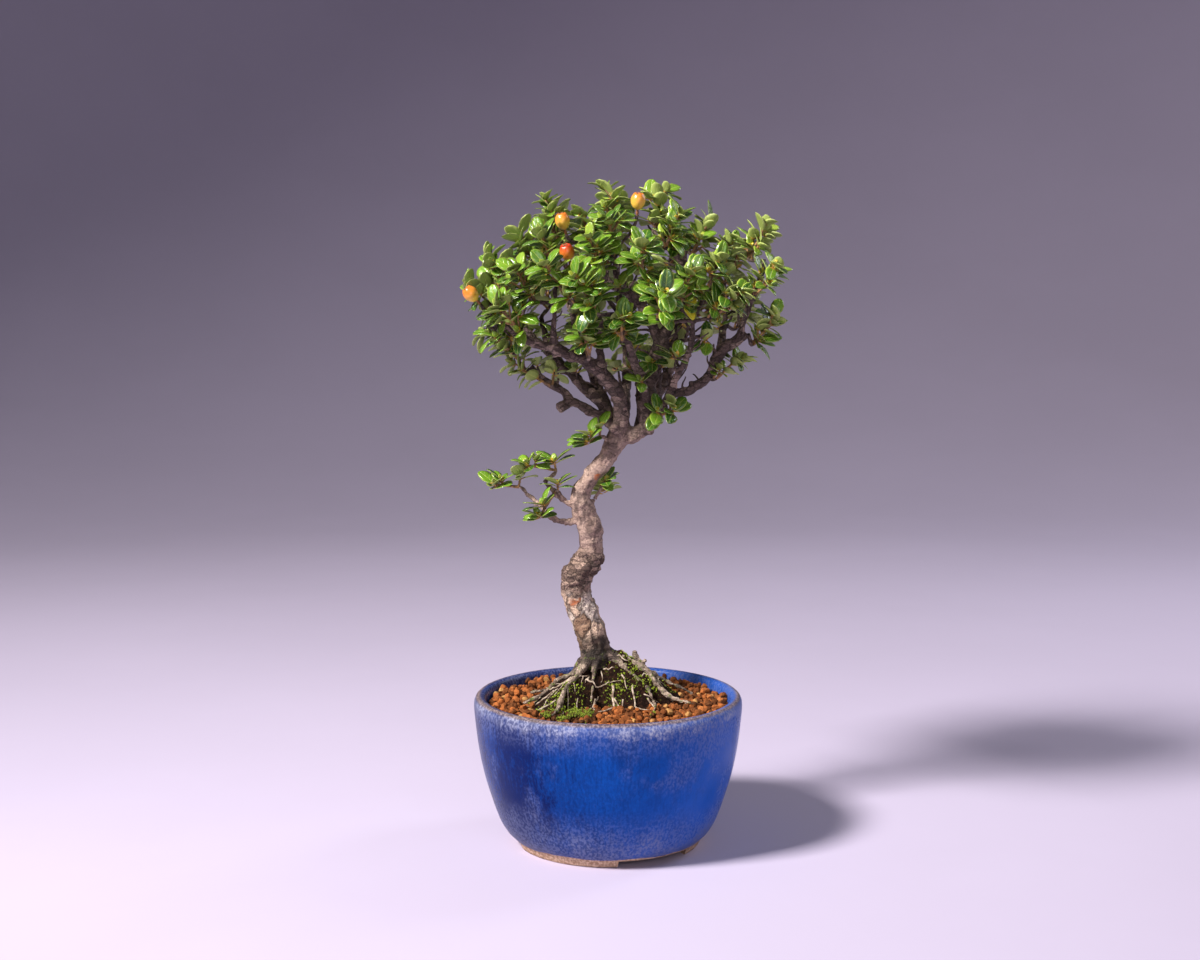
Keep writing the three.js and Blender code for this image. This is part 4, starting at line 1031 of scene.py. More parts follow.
def finish_piece(obj, name, materials, nodes=(), crease=math.pi):
    """Names a piece, paints it, and hangs it on the frame in place of its solids."""
    select_only(obj)
    apply_transform()
    obj.name = obj.data.name = name
    if materials:
        obj.data.materials.clear()
    for material in materials:
        obj.data.materials.append(material)
    bpy.ops.object.shade_smooth_by_angle(angle=crease)
    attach(obj, "root")
    if nodes:
        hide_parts(*nodes)
    return obj


def smooth_profile(points, steps):
    """Pairs along the smooth line through pairs of radius and height."""
    places = [np.array(point) for point in points]
    count = steps * (len(points) - 1)
    return [tuple(smooth_place(places, step / count)) for step in range(count + 1)]


def turned_piece(profile, sides):
    """Closed shape of revolution: a circle extruded and drawn in or out along its profile."""
    radius, height = profile[0]
    centre = (AXIS_SHIFT * MM, 0)
    select_only(None)
    bpy.ops.mesh.primitive_circle_add(
        vertices=sides, radius=radius * MM, location=(*centre, height * MM))
    obj = bpy.context.object
    with editing(obj):
        for next_radius, next_height in [*profile[1:], profile[0]]:
            rise, ratio = (next_height - height) * MM, next_radius / radius
            bpy.ops.mesh.extrude_region_move(TRANSFORM_OT_translate={"value": (0, 0, rise)})
            bpy.ops.transform.resize(
                value=(ratio, ratio, 1), center_override=(*centre, next_height * MM))
            radius, height = next_radius, next_height
    merge_doubles(obj)
    return obj


def cut_boxes(obj, boxes):
    """Cuts turned boxes out of a piece. A box is its middle, its sizes and its turn about Z."""
    cutters = []
    for middle, sizes, turn in boxes:
        select_only(None)
        bpy.ops.mesh.primitive_cube_add(size=1, location=middle, rotation=(0, 0, turn))
        bpy.context.object.scale = sizes
        apply_transform()
        cutters.append(bpy.context.object)
    cutter = join(cutters)
    cut = obj.modifiers.new("cut", "BOOLEAN")
    cut.operation, cut.solver, cut.object = "DIFFERENCE", "EXACT", cutter
    apply_modifiers(obj)
    bpy.data.objects.remove(cutter)


def linked(name, data):
    """A new object in the scene from a mesh or curve."""
    obj = bpy.data.objects.new(name, data)
    bpy.context.scene.collection.objects.link(obj)
    return obj


def tubes(name, lines, roundness):
    """Round tubes along lines of x, y, z and radius: a bevelled curve made a mesh."""
    curve = bpy.data.curves.new(name, "CURVE")
    curve.dimensions = "3D"
    curve.bevel_depth = MM
    curve.bevel_resolution = roundness
    curve.use_fill_caps = True
    for line in lines:
        line = np.asarray(line, float)
        spline = curve.splines.new("POLY")
        spline.points.add(len(line) - 1)
        places = np.column_stack([row_places(line[:, :3]), np.ones(len(line))])
        spline.points.foreach_set("co", places.ravel())
        spline.points.foreach_set("radius", line[:, 3].copy())
    select_only(linked(name, curve))
    bpy.ops.object.convert(target="MESH")
    obj = bpy.context.object
    merge_doubles(obj)
    return obj


def shape_of(obj):
    """Takes a modelled shape off its object: vertices, faces, UV corners and face marks."""
    mesh = obj.data
    corners = np.zeros(len(mesh.loops) * 2)
    mesh.uv_layers[0].data.foreach_get("uv", corners)
    under = np.zeros(len(mesh.polygons))
    if "under" in mesh.attributes:
        mesh.attributes["under"].data.foreach_get("value", under)
    shape = {
        "places": vertex_places(obj),
        "faces": [tuple(face.vertices) for face in mesh.polygons],
        "corners": corners.reshape(-1, 2),
        "under": under,
    }
    bpy.data.objects.remove(obj)
    return shape


def scattered(name, shapes, placings):
    """One mesh of many copies. A placing is a shape's index, the copy's three axes in
    rows, its place in millimetres, and its shade from 0 to 1."""
    places, faces, corners, under, tints = [], [], [], [], []
    start = 0
    for index, axes, place, tint in placings:
        shape = shapes[index]
        count = len(shape["places"])
        places.append(row_places(shape["places"] @ np.asarray(axes) + place))
        faces.extend(tuple(corner + start for corner in face) for face in shape["faces"])
        corners.append(shape["corners"])
        under.append(shape["under"])
        tints.append(np.full(count, tint))
        start += count
    mesh = bpy.data.meshes.new(name)
    mesh.from_pydata(np.concatenate(places).tolist(), [], faces)
    layer = mesh.uv_layers.new(name="UVMap")
    layer.data.foreach_set("uv", np.concatenate(corners).ravel())
    set_mark(mesh, "under", "FACE", np.concatenate(under))
    set_mark(mesh, "tint", "POINT", np.concatenate(tints))
    mesh.update()
    return linked(name, mesh)


def random_axes(random, size):
    """Three axes in rows, turned any way, with a size along each."""
    turn = Matrix.Identity(3)
    for axis in "XYZ":
        turn = turn @ Matrix.Rotation(random.draw(0, 2 * math.pi), 3, axis)
    return np.array(turn) * np.asarray(size)[:, None]


# Node groups, which several materials share
def solid(colour):
    """A colour as a socket takes it: a plain one gets its fourth part."""
    return colour if isinstance(colour, bpy.types.NodeSocket) else (*colour, 1)


class Board:
    """The node tree of a material or group, with short ways to add nodes and join them."""

    def __init__(self, tree):
        self.tree = tree

    def feed(self, socket, value):
        if isinstance(value, bpy.types.NodeSocket):
            self.tree.links.new(value, socket)
        elif value is not None:
            socket.default_value = value

    def add(self, kind, inputs=None, **settings):
        node = self.tree.nodes.new(kind)
        for key, value in settings.items():
            setattr(node, key, value)
        for key, value in (inputs or {}).items():
            self.feed(node.inputs[key], value)
        return node

    def math(self, operation, first, second=None, clamp=False):
        inputs = {0: first, 1: second}
        return self.add("ShaderNodeMath", inputs, operation=operation, use_clamp=clamp).outputs[0]

    def vector_math(self, operation, first, second=None):
        node = self.add("ShaderNodeVectorMath", {0: first, 1: second}, operation=operation)
        return node.outputs["Value" if operation in ("LENGTH", "DISTANCE") else "Vector"]

    def times(self, *values):
        result = values[0]
        for value in values[1:]:
            result = self.math("MULTIPLY", result, value)
        return result

    def plus(self, *parts, clamp=False):
        """A sum. The values in a part that is a tuple are multiplied first."""
        values = [self.times(*part) if isinstance(part, tuple) else part for part in parts]
        result = values[0]
        for value in values[1:]:
            result = self.math("ADD", result, value, clamp)
        return result

    def span(self, value, low, high):
        """A value's way from low to high, smoothed, as a number from 0 to 1."""
        inputs = {"Value": value, "From Min": low, "From Max": high}
        node = self.add("ShaderNodeMapRange", inputs, interpolation_type="SMOOTHSTEP")
        return node.outputs["Result"]

    def mix(self, first, second, *shares):
        """The second colour over the first, as far as the product of the shares says."""
        node = self.add("ShaderNodeMix", data_type="RGBA", clamp_factor=True)
        for index, value in ((0, self.times(*shares)), (6, solid(first)), (7, solid(second))):
            self.feed(node.inputs[index], value)
        return node.outputs[2]

    def noise(self, place, scale, detail=4.0, roughness=0.55):
        inputs = {"Vector": place, "Scale": scale, "Detail": detail, "Roughness": roughness}
        return self.add("ShaderNodeTexNoise", inputs).outputs[0]

    def mark(self, name):
        return self.add("ShaderNodeAttribute", attribute_name=name).outputs["Fac"]

    def split(self, place):
        return self.add("ShaderNodeSeparateXYZ", {0: place}).outputs

    def ramp(self, value, stops):
        node = self.add("ShaderNodeValToRGB", {0: value})
        elements = node.color_ramp.elements
        while len(elements) < len(stops):
            elements.new(0.5)
        for element, (at, colour) in zip(elements, stops):
            element.position, element.color = at, solid(colour)
        return node.outputs[0]

    def group(self, name, **inputs):
        node = self.add("ShaderNodeGroup")
        node.node_tree = shader_group(name)
        for key, value in inputs.items():
            self.feed(node.inputs[key], value)
        return node.outputs


def fill_mottle(board, entry, leave):
    """Cloudy patches: a mask from a noise, cut between two levels."""
    cloud = board.noise(entry["Place"], entry["Scale"], 5.0, 0.6)
    board.feed(leave["Mask"], board.span(cloud, entry["Low"], entry["High"]))


def fill_grit(board, entry, leave):
    """Fine relief of grit and pits, as a height."""
    coarse = board.noise(entry["Place"], entry["Scale"], 6.0, 0.7)
    fine = board.noise(entry["Place"], board.times(entry["Scale"], 3.7), 3.0, 0.6)
    board.feed(leave["Height"], board.plus(coarse, (fine, 0.45)))


def fill_plates(board, entry, leave):
    """Flaky plates: a shade for each plate, and a mask of the cracks between them."""
    warp = board.add("ShaderNodeTexNoise", {"Vector": entry["Place"], "Scale": 330, "Detail": 3.0})
    warp = board.vector_math("MULTIPLY", warp.outputs["Color"], (0.0035,) * 3)
    place = board.vector_math("ADD", entry["Place"], warp)
    inputs = {"Vector": place, "Scale": entry["Scale"]}
    cells = board.add("ShaderNodeTexVoronoi", inputs)
    edges = board.add("ShaderNodeTexVoronoi", inputs, feature="DISTANCE_TO_EDGE")
    board.feed(leave["Shade"], board.split(cells.outputs["Color"])[0])
    board.feed(leave["Crack"], board.span(edges.outputs["Distance"], 0.12, 0.02))


# Each group's inputs, its outputs and what fills it
GROUPS = {
    "Mottle": (["Place", "Scale", "Low", "High"], ["Mask"], fill_mottle),
    "Grit": (["Place", "Scale"], ["Height"], fill_grit),
    "Plates": (["Place", "Scale"], ["Shade", "Crack"], fill_plates),
}


def shader_group(name):
    """A node group, made when it is first asked for."""
    if name in bpy.data.node_groups:
        return bpy.data.node_groups[name]
    inputs, outputs, fill = GROUPS[name]
    tree = bpy.data.node_groups.new(name, "ShaderNodeTree")
    for label in inputs:
        kind = "NodeSocketVector" if label == "Place" else "NodeSocketFloat"
        tree.interface.new_socket(label, in_out="INPUT", socket_type=kind)
    for label in outputs:
        tree.interface.new_socket(label, in_out="OUTPUT", socket_type="NodeSocketFloat")
    board = Board(tree)
    fill(board, board.add("NodeGroupInput").outputs, board.add("NodeGroupOutput").inputs)
    return tree


class Paint(Board):
    """A material in the making, with its shader and its object coordinates."""

    def __init__(self, name):
        self.material = bpy.data.materials.new(name)
        self.material.use_nodes = True
        super().__init__(self.material.node_tree)
        self.shader = self.tree.nodes["Principled BSDF"]
        self.place = self.add("ShaderNodeTexCoord").outputs["Object"]

    @cached_property
    def height(self):
        return self.split(self.place)[2]

    def span_mm(self, length, low, high):
        """A length's way between two lengths in millimetres."""
        return self.span(length, low * MM, high * MM)

    def rise(self, low, high):
        """Mask from 0 at one height to 1 at another, both in millimetres."""
        return self.span_mm(self.height, low, high)

    def zone(self, low, low_full, high_full, high):
        """Mask between two heights, full between the inner two."""
        return self.times(self.rise(low, low_full), self.rise(high, high_full))

    def stretch(self, tall, move=(0, 0, 0)):
        """The place with its heights made larger or smaller, and moved."""
        inputs = {"Vector": self.place, "Location": move, "Scale": (1, 1, tall)}
        return self.add("ShaderNodeMapping", inputs).outputs[0]

    def away(self, x, y):
        """Distance from the upright line at x and y."""
        return self.vector_math("LENGTH", self.stretch(0, (-x, -y, 0)))

    def mottle(self, scale, low, high, *stretch):
        """Mask of cloudy patches, on the plain place or on a stretched one."""
        place = self.stretch(*stretch) if stretch else self.place
        return self.group("Mottle", Place=place, Scale=scale, Low=low, High=high)["Mask"]

    def plates(self, scale, place):
        """Shade and crack masks of flaky plates."""
        leave = self.group("Plates", Place=place, Scale=scale)
        return leave["Shade"], leave["Crack"]

    def grit(self, scale, place=None):
        place = self.place if place is None else place
        return self.group("Grit", Place=place, Scale=scale)["Height"]

    def finish(self, colour, roughness, relief=None, depth=0.0, strength=1.0, specular=None):
        """Joins all to the shader. Depth is how far the relief reaches, in millimetres."""
        inputs = self.shader.inputs
        self.feed(inputs["Base Color"], colour)
        self.feed(inputs["Roughness"], roughness)
        self.feed(inputs["Specular IOR Level"], specular)
        if relief is not None:
            values = {"Height": relief, "Distance": depth * MM, "Strength": strength}
            self.feed(inputs["Normal"], self.add("ShaderNodeBump", values).outputs[0])
        return self.material


# Materials, whose scales are cells to the metre
def pot_material(settings):
    """Blue glaze with fine brushing, a ragged pale crust by the rim and a bare clay foot."""
    paint = Paint("brushed_blue_glaze")
    paint.place = paint.stretch(1, (-AXIS_SHIFT * MM, 0, 0))
    away = paint.away(0, 0)
    streaks = paint.mottle(900, 0.3, 0.7, 0.09)
    clouds = paint.mottle(38, 0.36, 0.64, 0.6, (0.022, -0.014, 0))
    specks = paint.mottle(1100, 0.42, 0.62, 0.7)
    haze = paint.mottle(55, 0.42, 0.7, 0.55, (0.3, 0, 0))
    veils = paint.mottle(42, 0.5, 0.68, 0.9, (0, 0.4, 0))
    ragged = paint.noise(paint.stretch(0.8, (0, 0.2, 0)), 190, 9.0, 0.78)
    # Painted light across the pot: darker towards the left as painted shade, lighter towards the
    # right as painted light
    painted_side_light = paint.span(paint.split(paint.place)[0], -0.04, 0.05)

    # How deep the blue is: the glaze's own streaks, clouds and specks, and most of all the painted
    # side light
    depth = paint.plus((streaks, 0.18), (clouds, 0.24), (specks, 0.12), (painted_side_light, 0.74), -0.22,
                       clamp=True)
    colour = paint.mix(settings.deep_and_shaded_glaze, settings.bright_and_lit_glaze, depth)

    foot_haze = paint.times(paint.rise(*FOOT_HAZE), paint.plus((haze, 0.6), 0.68))
    rim_haze = paint.times(paint.rise(*RIM_HAZE), paint.plus((haze, 0.4), 0.4))
    hazy = paint.plus((veils, 0.45), foot_haze, rim_haze, clamp=True)
    hazy = paint.times(hazy, paint.plus((specks, 0.75), 0.25))
    colour = paint.mix(colour, GLAZE_HAZE, hazy, 0.85)

    outside = paint.span_mm(away, *OUTSIDE_RADII)
    level = paint.plus((paint.rise(*CRUST_AT_RIM), outside, 0.37),
                       (paint.rise(*CRUST_AT_FOOT), 0.19), (clouds, -0.05), ragged)
    crust = paint.times(paint.span(level, 0.68, 0.86), paint.plus((specks, 0.6), 0.25),
                        paint.plus((haze, 0.75), 0.3))
    colour = paint.mix(colour, settings.bloom, crust)

    wavy_top = paint.plus(paint.height, (ragged, 1.4 * MM))
    on_edge = paint.times(paint.span_mm(wavy_top, *EDGE_HEIGHTS),
                          paint.span_mm(away, *EDGE_RADII))
    colour = paint.mix(colour, paint.mix(*EDGE_CLAYS, specks), on_edge, 0.85)

    wavy_foot = paint.plus(paint.height, (clouds, -0.8 * MM))
    bare = paint.span_mm(wavy_foot, *BARE_FOOT)
    colour = paint.mix(colour, paint.mix(*FOOT_CLAYS, specks), bare)

    rough = paint.plus(0.22, (hazy, 0.3), (crust, 0.4), (bare, 0.5), (on_edge, 0.3), clamp=True)
    relief = paint.plus((streaks, 0.25), (paint.grit(500), 0.5), (crust, 0.6))
    return paint.finish(colour, rough, relief, 0.16, 0.6, specular=0.1)


def akadama_material(settings):
    """Fired clay grains, each with its own tone, some of them pale, and the fill under them in the
    darkest colour as painted shade.
    """
    paint = Paint("akadama_clay")
    light = [min(1.0, LIGHT_GRAIN * part) for part in settings.grain]
    # Tint 0, the darkest, falls on the fill under the grains, which has no tint: painted shade in
    # the gaps
    colour = paint.ramp(paint.mark("tint"), [
        (0.0, GAP_SHADE_AND_MOSSY_GRAIN), (0.08, settings.dark_grain), (0.5, settings.grain),
        (0.86, light), (0.94, settings.pale_grain)])
    colour = paint.mix(colour, GRAIN_DUST, paint.mottle(900, 0.4, 0.7), 0.3)
    colour = paint.mix(colour, GRAIN_PIT, paint.mottle(1700, 0.52, 0.7), 0.7)
    return paint.finish(colour, 0.95, paint.grit(1300), 0.3, 0.8, specular=0.2)


def earth_material(settings):
    """Dark peaty earth with a green film of moss in patches."""
    paint = Paint("root_earth")
    colour = paint.mix(settings.earth, EARTH_CRUMB, paint.mottle(700, 0.46, 0.66))
    colour = paint.mix(colour, EARTH_FLECK, paint.mottle(1500, 0.6, 0.68), 0.7)
    film = paint.times(paint.mottle(110, 0.56, 0.68), paint.mottle(900, 0.48, 0.62))
    colour = paint.mix(colour, settings.moss, film, 0.4)
    return paint.finish(colour, 0.95, paint.grit(700), 1.2, specular=0.15)


def moss_material(settings):
    """Moss in small tufts, from dark to bright."""
    paint = Paint("moss_tufts")
    stops = [(at, [share * part for part in settings.moss]) for at, share in MOSS_SHADES]
    return paint.finish(paint.ramp(paint.mark("tint"), stops), 0.8)


def rootlet_material():
    """Thin pale roots, stained by the earth."""
    paint = Paint("pale_rootlets")
    colour = paint.mix(*ROOTLET_COLOURS, paint.mottle(500, 0.4, 0.65))
    return paint.finish(colour, 0.8, paint.grit(900), 0.2)


def bark_material(settings):
    """Old bark in flaky plates: grey-brown limbs with painted shade in the crown, a pale trunk, a
    dark mossy foot.
    """
    paint = Paint("flaky_bark")
    flat = paint.stretch(1.6)
    shade, crack = paint.plates(300, flat)
    tall_shade, tall_crack = paint.plates(185, paint.stretch(0.6))
    fine_shade, fine_crack = paint.plates(850, paint.place)
    blotches = paint.mottle(130, 0.42, 0.6)
    specks = paint.mottle(1300, 0.54, 0.64)
    grime = paint.mottle(520, 0.52, 0.68)
    patches = paint.mottle(240, 0.5, 0.6, 0.7, (0.1, 0, 0))

    dark = [0.32 * part for part in settings.bark]
    colour = paint.mix(dark, settings.bark, paint.plus((shade, 0.65), (fine_shade, 0.35)))
    colour = paint.mix(colour, settings.pale_bark, paint.plus((blotches, 0.7), 0.15),
                       paint.span(shade, 0.35, 0.75))

    # Flakes low on the trunk, smoother bark above them
    on_flaky, on_smooth = paint.zone(*FLAKY_ZONE), paint.zone(*SMOOTH_ZONE)
    cracks = paint.plus((crack, 0.6), (fine_crack, 0.35), clamp=True)
    cracks = paint.times(cracks, paint.plus((on_flaky, -0.85), 1.0),
                         paint.plus((on_smooth, -0.75), 1.0))
    smooth = paint.mix(settings.pale_bark, settings.tan_bark,
                       paint.plus((blotches, 0.45), (fine_shade, 0.3)))
    smooth = paint.mix(smooth, dark, specks, 0.75)
    smooth = paint.mix(smooth, SMOOTH_PATCH, patches, 0.75)
    colour = paint.mix(colour, smooth, on_smooth, 0.8)
    flaky = paint.mix(*FLAKES, paint.span(tall_shade, 0.1, 0.6))
    flaky = paint.mix(flaky, PALEST_FLAKE, paint.span(tall_shade, 0.82, 0.9), 0.7)
    flaky = paint.mix(flaky, FLAKE_GRIME, grime, 0.85)
    flaky = paint.mix(flaky, FLAKE_SPECK, specks, 0.8)
    colour = paint.mix(colour, flaky, on_flaky, 0.9)
    cracks = paint.plus(cracks, (tall_crack, on_flaky, 0.7), clamp=True)

    # The twisted part, painted shade on the bark inside the crown, and the cracks over all
    fold = paint.mix(*FOLDS, paint.span(shade, 0.1, 0.7))
    colour = paint.mix(colour, fold, paint.zone(*TWISTED_ZONE), 0.7)
    colour = paint.mix(colour, PAINTED_CROWN_SHADE, paint.rise(*SHADED_CROWN_HEIGHTS), 0.35)
    colour = paint.mix(colour, CRACK_COLOUR, cracks, 0.85)

    # Pale roots, and the dark, stained and mossy foot
    away = paint.away(*row_places((*TRUNK_FOOT, 0))[:2])
    root = paint.mix(*ROOT_COLOURS, paint.plus((shade, 0.4), (fine_shade, 0.6)))
    colour = paint.mix(colour, root, paint.rise(*PALE_ROOTS), paint.span_mm(away, *OFF_TRUNK),
                       0.9)
    colour = paint.mix(colour, FOOT_COLOUR, paint.rise(*DARK_FOOT),
                       paint.span_mm(away, *NEAR_TRUNK), paint.plus((blotches, -0.5), 0.97))
    stains, tufts = paint.mottle(230, 0.47, 0.6), paint.mottle(420, 0.55, 0.63)
    colour = paint.mix(colour, FOOT_STAIN, paint.rise(*STAINED_FOOT), stains, 0.85)
    colour = paint.mix(colour, FOOT_MOSS, paint.rise(*MOSSY_FOOT), tufts, 0.8)
    colour = paint.mix(colour, BARK_GRIME, grime, 0.35)

    for spot, size in SCARS:
        way = paint.vector_math("DISTANCE", paint.place, tuple(row_places(spot)))
        way = paint.plus(way, (paint.noise(paint.place, 600), SCAR_WAVER * MM))
        scar = paint.span_mm(way, size + SCAR_WAVER / 2, size * 0.5 + SCAR_WAVER / 2)
        colour = paint.mix(colour, SCAR_COLOUR, scar, paint.plus((fine_shade, -0.7), 1.0))
    relief = paint.plus(paint.grit(420, flat), (cracks, -1.2), (shade, 0.5),
                        (tall_shade, on_flaky, 0.9))
    return paint.finish(colour, 0.8, relief, 0.5)


def leaf_materials(settings):
    """Glossy leaves with a pale midrib and rim and a dull underside, and their young stems."""
    paint = Paint("glossy_leaf")
    along, across = paint.split(paint.add("ShaderNodeUVMap", uv_map="UVMap").outputs[0])[:2]
    tint, under = paint.mark("tint"), paint.mark("under")
    # Tint ramp: the darkest green is largely painted shade on low leaves, the bright green painted
    # light on high leaves; then young, yellow and bud colours
    colour = paint.ramp(tint, [
        (0.0, DARKEST_LEAF), (0.3, settings.leaf), (0.62, settings.bright_leaf),
        (0.84, settings.young_leaf), (0.92, YELLOW_LEAF_COLOUR), (1.0, BUD_SCALE)])
    patches = paint.mottle(260, 0.35, 0.65)
    colour = paint.mix(colour, LEAF_PATCH, patches, 0.22)

    off_middle = paint.math("ABSOLUTE", paint.plus(across, -0.5))
    midrib = paint.span(off_middle, 0.05, 0.012)
    slant = paint.math("FRACT", paint.plus((along, 6.0), (off_middle, -2.4)))
    vein = paint.span(paint.math("ABSOLUTE", paint.plus(slant, -0.5)), 0.09, 0.02)
    rim = paint.span(off_middle, 0.36, 0.49)
    pale = paint.plus((midrib, 0.38), (vein, 0.14), (rim, 0.65), clamp=True)
    colour = paint.mix(colour, LEAF_VEIN, pale)
    below = paint.mix(settings.underside, UNDER_VEIN, pale)
    colour = paint.mix(colour, below, under, paint.span(tint, 1.0, 0.75))
    colour = paint.mix(colour, LEAF_STALK, paint.span(along, 0.34, 0.2), 0.9)
    rough = paint.plus(0.17, (under, 0.4), (patches, 0.12))
    relief = paint.plus((midrib, -0.8), (vein, -0.4), (paint.grit(900), 0.25))
    leaf = paint.finish(colour, rough, relief, 0.14, specular=0.75)

    paint = Paint("young_stem")
    colour = paint.mix(*STEM_COLOURS, paint.mottle(500, 0.4, 0.6))
    return [leaf, paint.finish(colour, 0.7, paint.grit(1200), 0.15)]


def berry_materials(settings):
    """Waxy skin from yellow at the stalk to red round the eye, and a dry brown eye."""
    paint = Paint("berry_skin")
    uneven = paint.plus(paint.noise(paint.place, 260, 3.0), -0.5)
    ripe = paint.plus(paint.mark("ripe"), (uneven, 0.55))
    colour = paint.ramp(ripe, [(0.1, settings.yellow), (0.5, settings.orange), (0.9, settings.red)])
    dots = paint.mottle(1500, 0.6, 0.7)
    colour = paint.mix(colour, BERRY_DOT, dots, 0.35)
    skin = paint.finish(colour, paint.plus(0.25, (dots, 0.25)), paint.grit(700), 0.06)

    paint = Paint("berry_eye")
    colour = paint.mix(*EYE_COLOURS, paint.mottle(900, 0.4, 0.6))
    return [skin, paint.finish(colour, 0.8, paint.grit(900), 0.2)]


# Pot
def build_pot(settings):
    profile = [*smooth_profile(POT_FOOT, 2), *smooth_profile(POT_WALL, POT_SMOOTH_STEPS),
               *smooth_profile(POT_RIM, 2), *smooth_profile(POT_INSIDE, POT_SMOOTH_STEPS),
               *POT_DRAIN, *POT_UNDER]
    pot = turned_piece(profile, settings.sides)
    boxes = []
    for degrees in FOOT_GAP_CENTRES:
        turn = math.radians(degrees)
        x, y = math.sin(turn) * FOOT_MIDDLE_RADIUS, -math.cos(turn) * FOOT_MIDDLE_RADIUS
        sizes = [size * MM for size in FOOT_GAP_SIZES]
        boxes.append((row_places([x, y, FOOT_GAP_MIDDLE_Z]), sizes, turn))
    cut_boxes(pot, boxes)
    finish_piece(pot, "glazed_pot", [pot_material(settings)], ["pot"], POT_CREASE)


# Soil
def grain_shape(random):
    """A rough grain: a small ball, knocked flat on a few sides."""
    select_only(None)
    bpy.ops.mesh.primitive_ico_sphere_add(subdivisions=2, radius=1)
    grain = bpy.context.object
    places = vertex_places(grain)
    for side in range(GRAIN_FLAT_SIDES):
        cut = unit(random.draws(-1, 1))
        over = np.maximum(places @ cut - random.draw(*GRAIN_FLAT_DEPTHS), 0)
        places = places - over[:, None] * cut
    shift = Vector(random.draws(0, 50))
    swell = [1 + 0.16 * noise.noise(Vector(place) * 1.6 + shift) for place in places]
    move_vertices(grain, places * np.array(swell)[:, None])
    return shape_of(grain)


def grain_places(random, spacing):
    """Staggered rows of places over the soil, in layers that thin out upwards."""
    found = []
    row_spacing = spacing * GRAIN_ROW_SHARE
    for layer, (height, share) in enumerate(GRAIN_LAYERS):
        for row in range(int(2 * SOIL_RADIUS / row_spacing) + 1):
            for column in range(int(2 * SOIL_RADIUS / spacing) + 1):
                x = -SOIL_RADIUS + spacing * (column + 0.5 * ((row + layer) % 2))
                y = -SOIL_RADIUS + row_spacing * row
                x += random.draw(-GRAIN_JITTER, GRAIN_JITTER) * spacing
                y += random.draw(-GRAIN_JITTER, GRAIN_JITTER) * spacing
                lift, luck = random.draw(-GRAIN_LIFT, GRAIN_LIFT), random.draw()
                if math.hypot(x, y) > SOIL_RADIUS - GRAIN_FROM_WALL:
                    continue
                edge = GRAIN_MOUND_SHARE + 0.06 * random.draw(-1, 1)
                if luck < share and mound_share(x, y) >= edge:
                    found.append(np.array([x, y, height + lift]))
    return found


def grain_bed():
    """The fill under the grains, which widens with the pot's wall, painted near-black as shade in
    the gaps between the grains.
    """
    profile = [(GRAIN_BED_FLOOR_RADIUS, GRAIN_BED_FLOOR_Z), (SOIL_RADIUS - 0.6, GRAIN_BED_Z),
               (1.0, GRAIN_BED_Z), (1.0, GRAIN_BED_FLOOR_Z)]
    return turned_piece(profile, GRAIN_BED_SIDES)


def build_soil(settings):
    random = Stream(SEED + 1)
    size = settings.grain_size / MM
    shapes = [grain_shape(random) for variant in range(6)]
    placings = []
    for place in grain_places(random, size * 0.88):
        scale = size / 2 * random.draw(*GRAIN_SIZES)
        axes = random_axes(random, scale * random.draws(*GRAIN_SQUASH))
        pale = random.draw() < PALE_GRAIN_SHARE
        tint = random.draw(0.93, 1.0) if pale else random.draw(0.1, 0.88)
        if moss_share(place[0], place[1]) > MOSSY_GRAIN_SHARE:
            tint = random.draw(0, 0.12)
        placings.append((random.pick(shapes), axes, place, tint))
    # The bed has no tint of its own, so it takes the darkest grain colour, as painted shade
    soil = join([scattered("grains", shapes, placings), grain_bed()])
    finish_piece(soil, "akadama_grains", [akadama_material(settings)],
                 ["akadama_soil"], GRAIN_CREASE)


# Earth mound, moss and rootlets
ROOT_STARTS = np.array([row for plan in ROOTS.values() for row in plan[:-1]], float)
ROOT_WAYS = np.array([row for plan in ROOTS.values() for row in plan[1:]], float) - ROOT_STARTS


def root_bed(x, y):
    """How far the earth is heaped up against the nearest root."""
    rise, reach = ROOT_BEDDING
    offsets = ((np.array([x, y]) - ROOT_STARTS[:, :2]) * ROOT_WAYS[:, :2]).sum(1)
    shares = np.clip(offsets / (ROOT_WAYS[:, :2] ** 2).sum(1), 0, 1)
    near = ROOT_STARTS + ROOT_WAYS * shares[:, None]
    away = np.hypot(near[:, 0] - x, near[:, 1] - y) / (reach * near[:, 2])
    return (rise * near[:, 2] * np.exp(-away * away)).max()


def earth_height(x, y):
    """Height of the shown earth, crumbly, and heaped up round the roots and by the trunk."""
    fill_x, fill_y, rise, reach = MOUND_FILL
    height = mound_height(x, y) + root_bed(x, y)
    height += rise * math.exp(-((x - fill_x) ** 2 + (y - fill_y) ** 2) / reach**2)
    for crumb, scale, layer in EARTH_CRUMBS:
        height += crumb * noise_at(x * scale, y * scale, layer)
    return height


def mound_surface():
    """A fine sheet laid over the mound's lobes, crumbly, and drawn down to a closed body."""
    select_only(None)
    columns, rows = MOUND_SHEET_CELLS
    bpy.ops.mesh.primitive_grid_add(x_subdivisions=columns, y_subdivisions=rows, size=1)
    mound = bpy.context.object
    places = vertex_places(mound)
    places[:, :2] = places[:, :2] * MOUND_SHEET_SIZE + MOUND_SHEET_MIDDLE
    away = np.linalg.norm(places[:, :2], axis=1)
    places[:, :2] *= np.minimum(1, MOUND_SHEET_REACH / away)[:, None]
    for place in places:
        x, y = place[:2]
        edge = max(0.0, mound_share(x, y) - MOUND_EDGE_SHARE) * MOUND_EDGE_DROP
        place[2] = max(MOUND_SUNK_Z, earth_height(x, y) - edge)
    move_vertices(mound, row_places(places))
    with editing(mound):
        down = (0, 0, -MOUND_THICKNESS * MM)
        bpy.ops.mesh.extrude_region_move(TRANSFORM_OT_translate={"value": down})
        bpy.ops.mesh.select_all(action="SELECT")
        bpy.ops.mesh.normals_make_consistent(inside=False)
    return mound


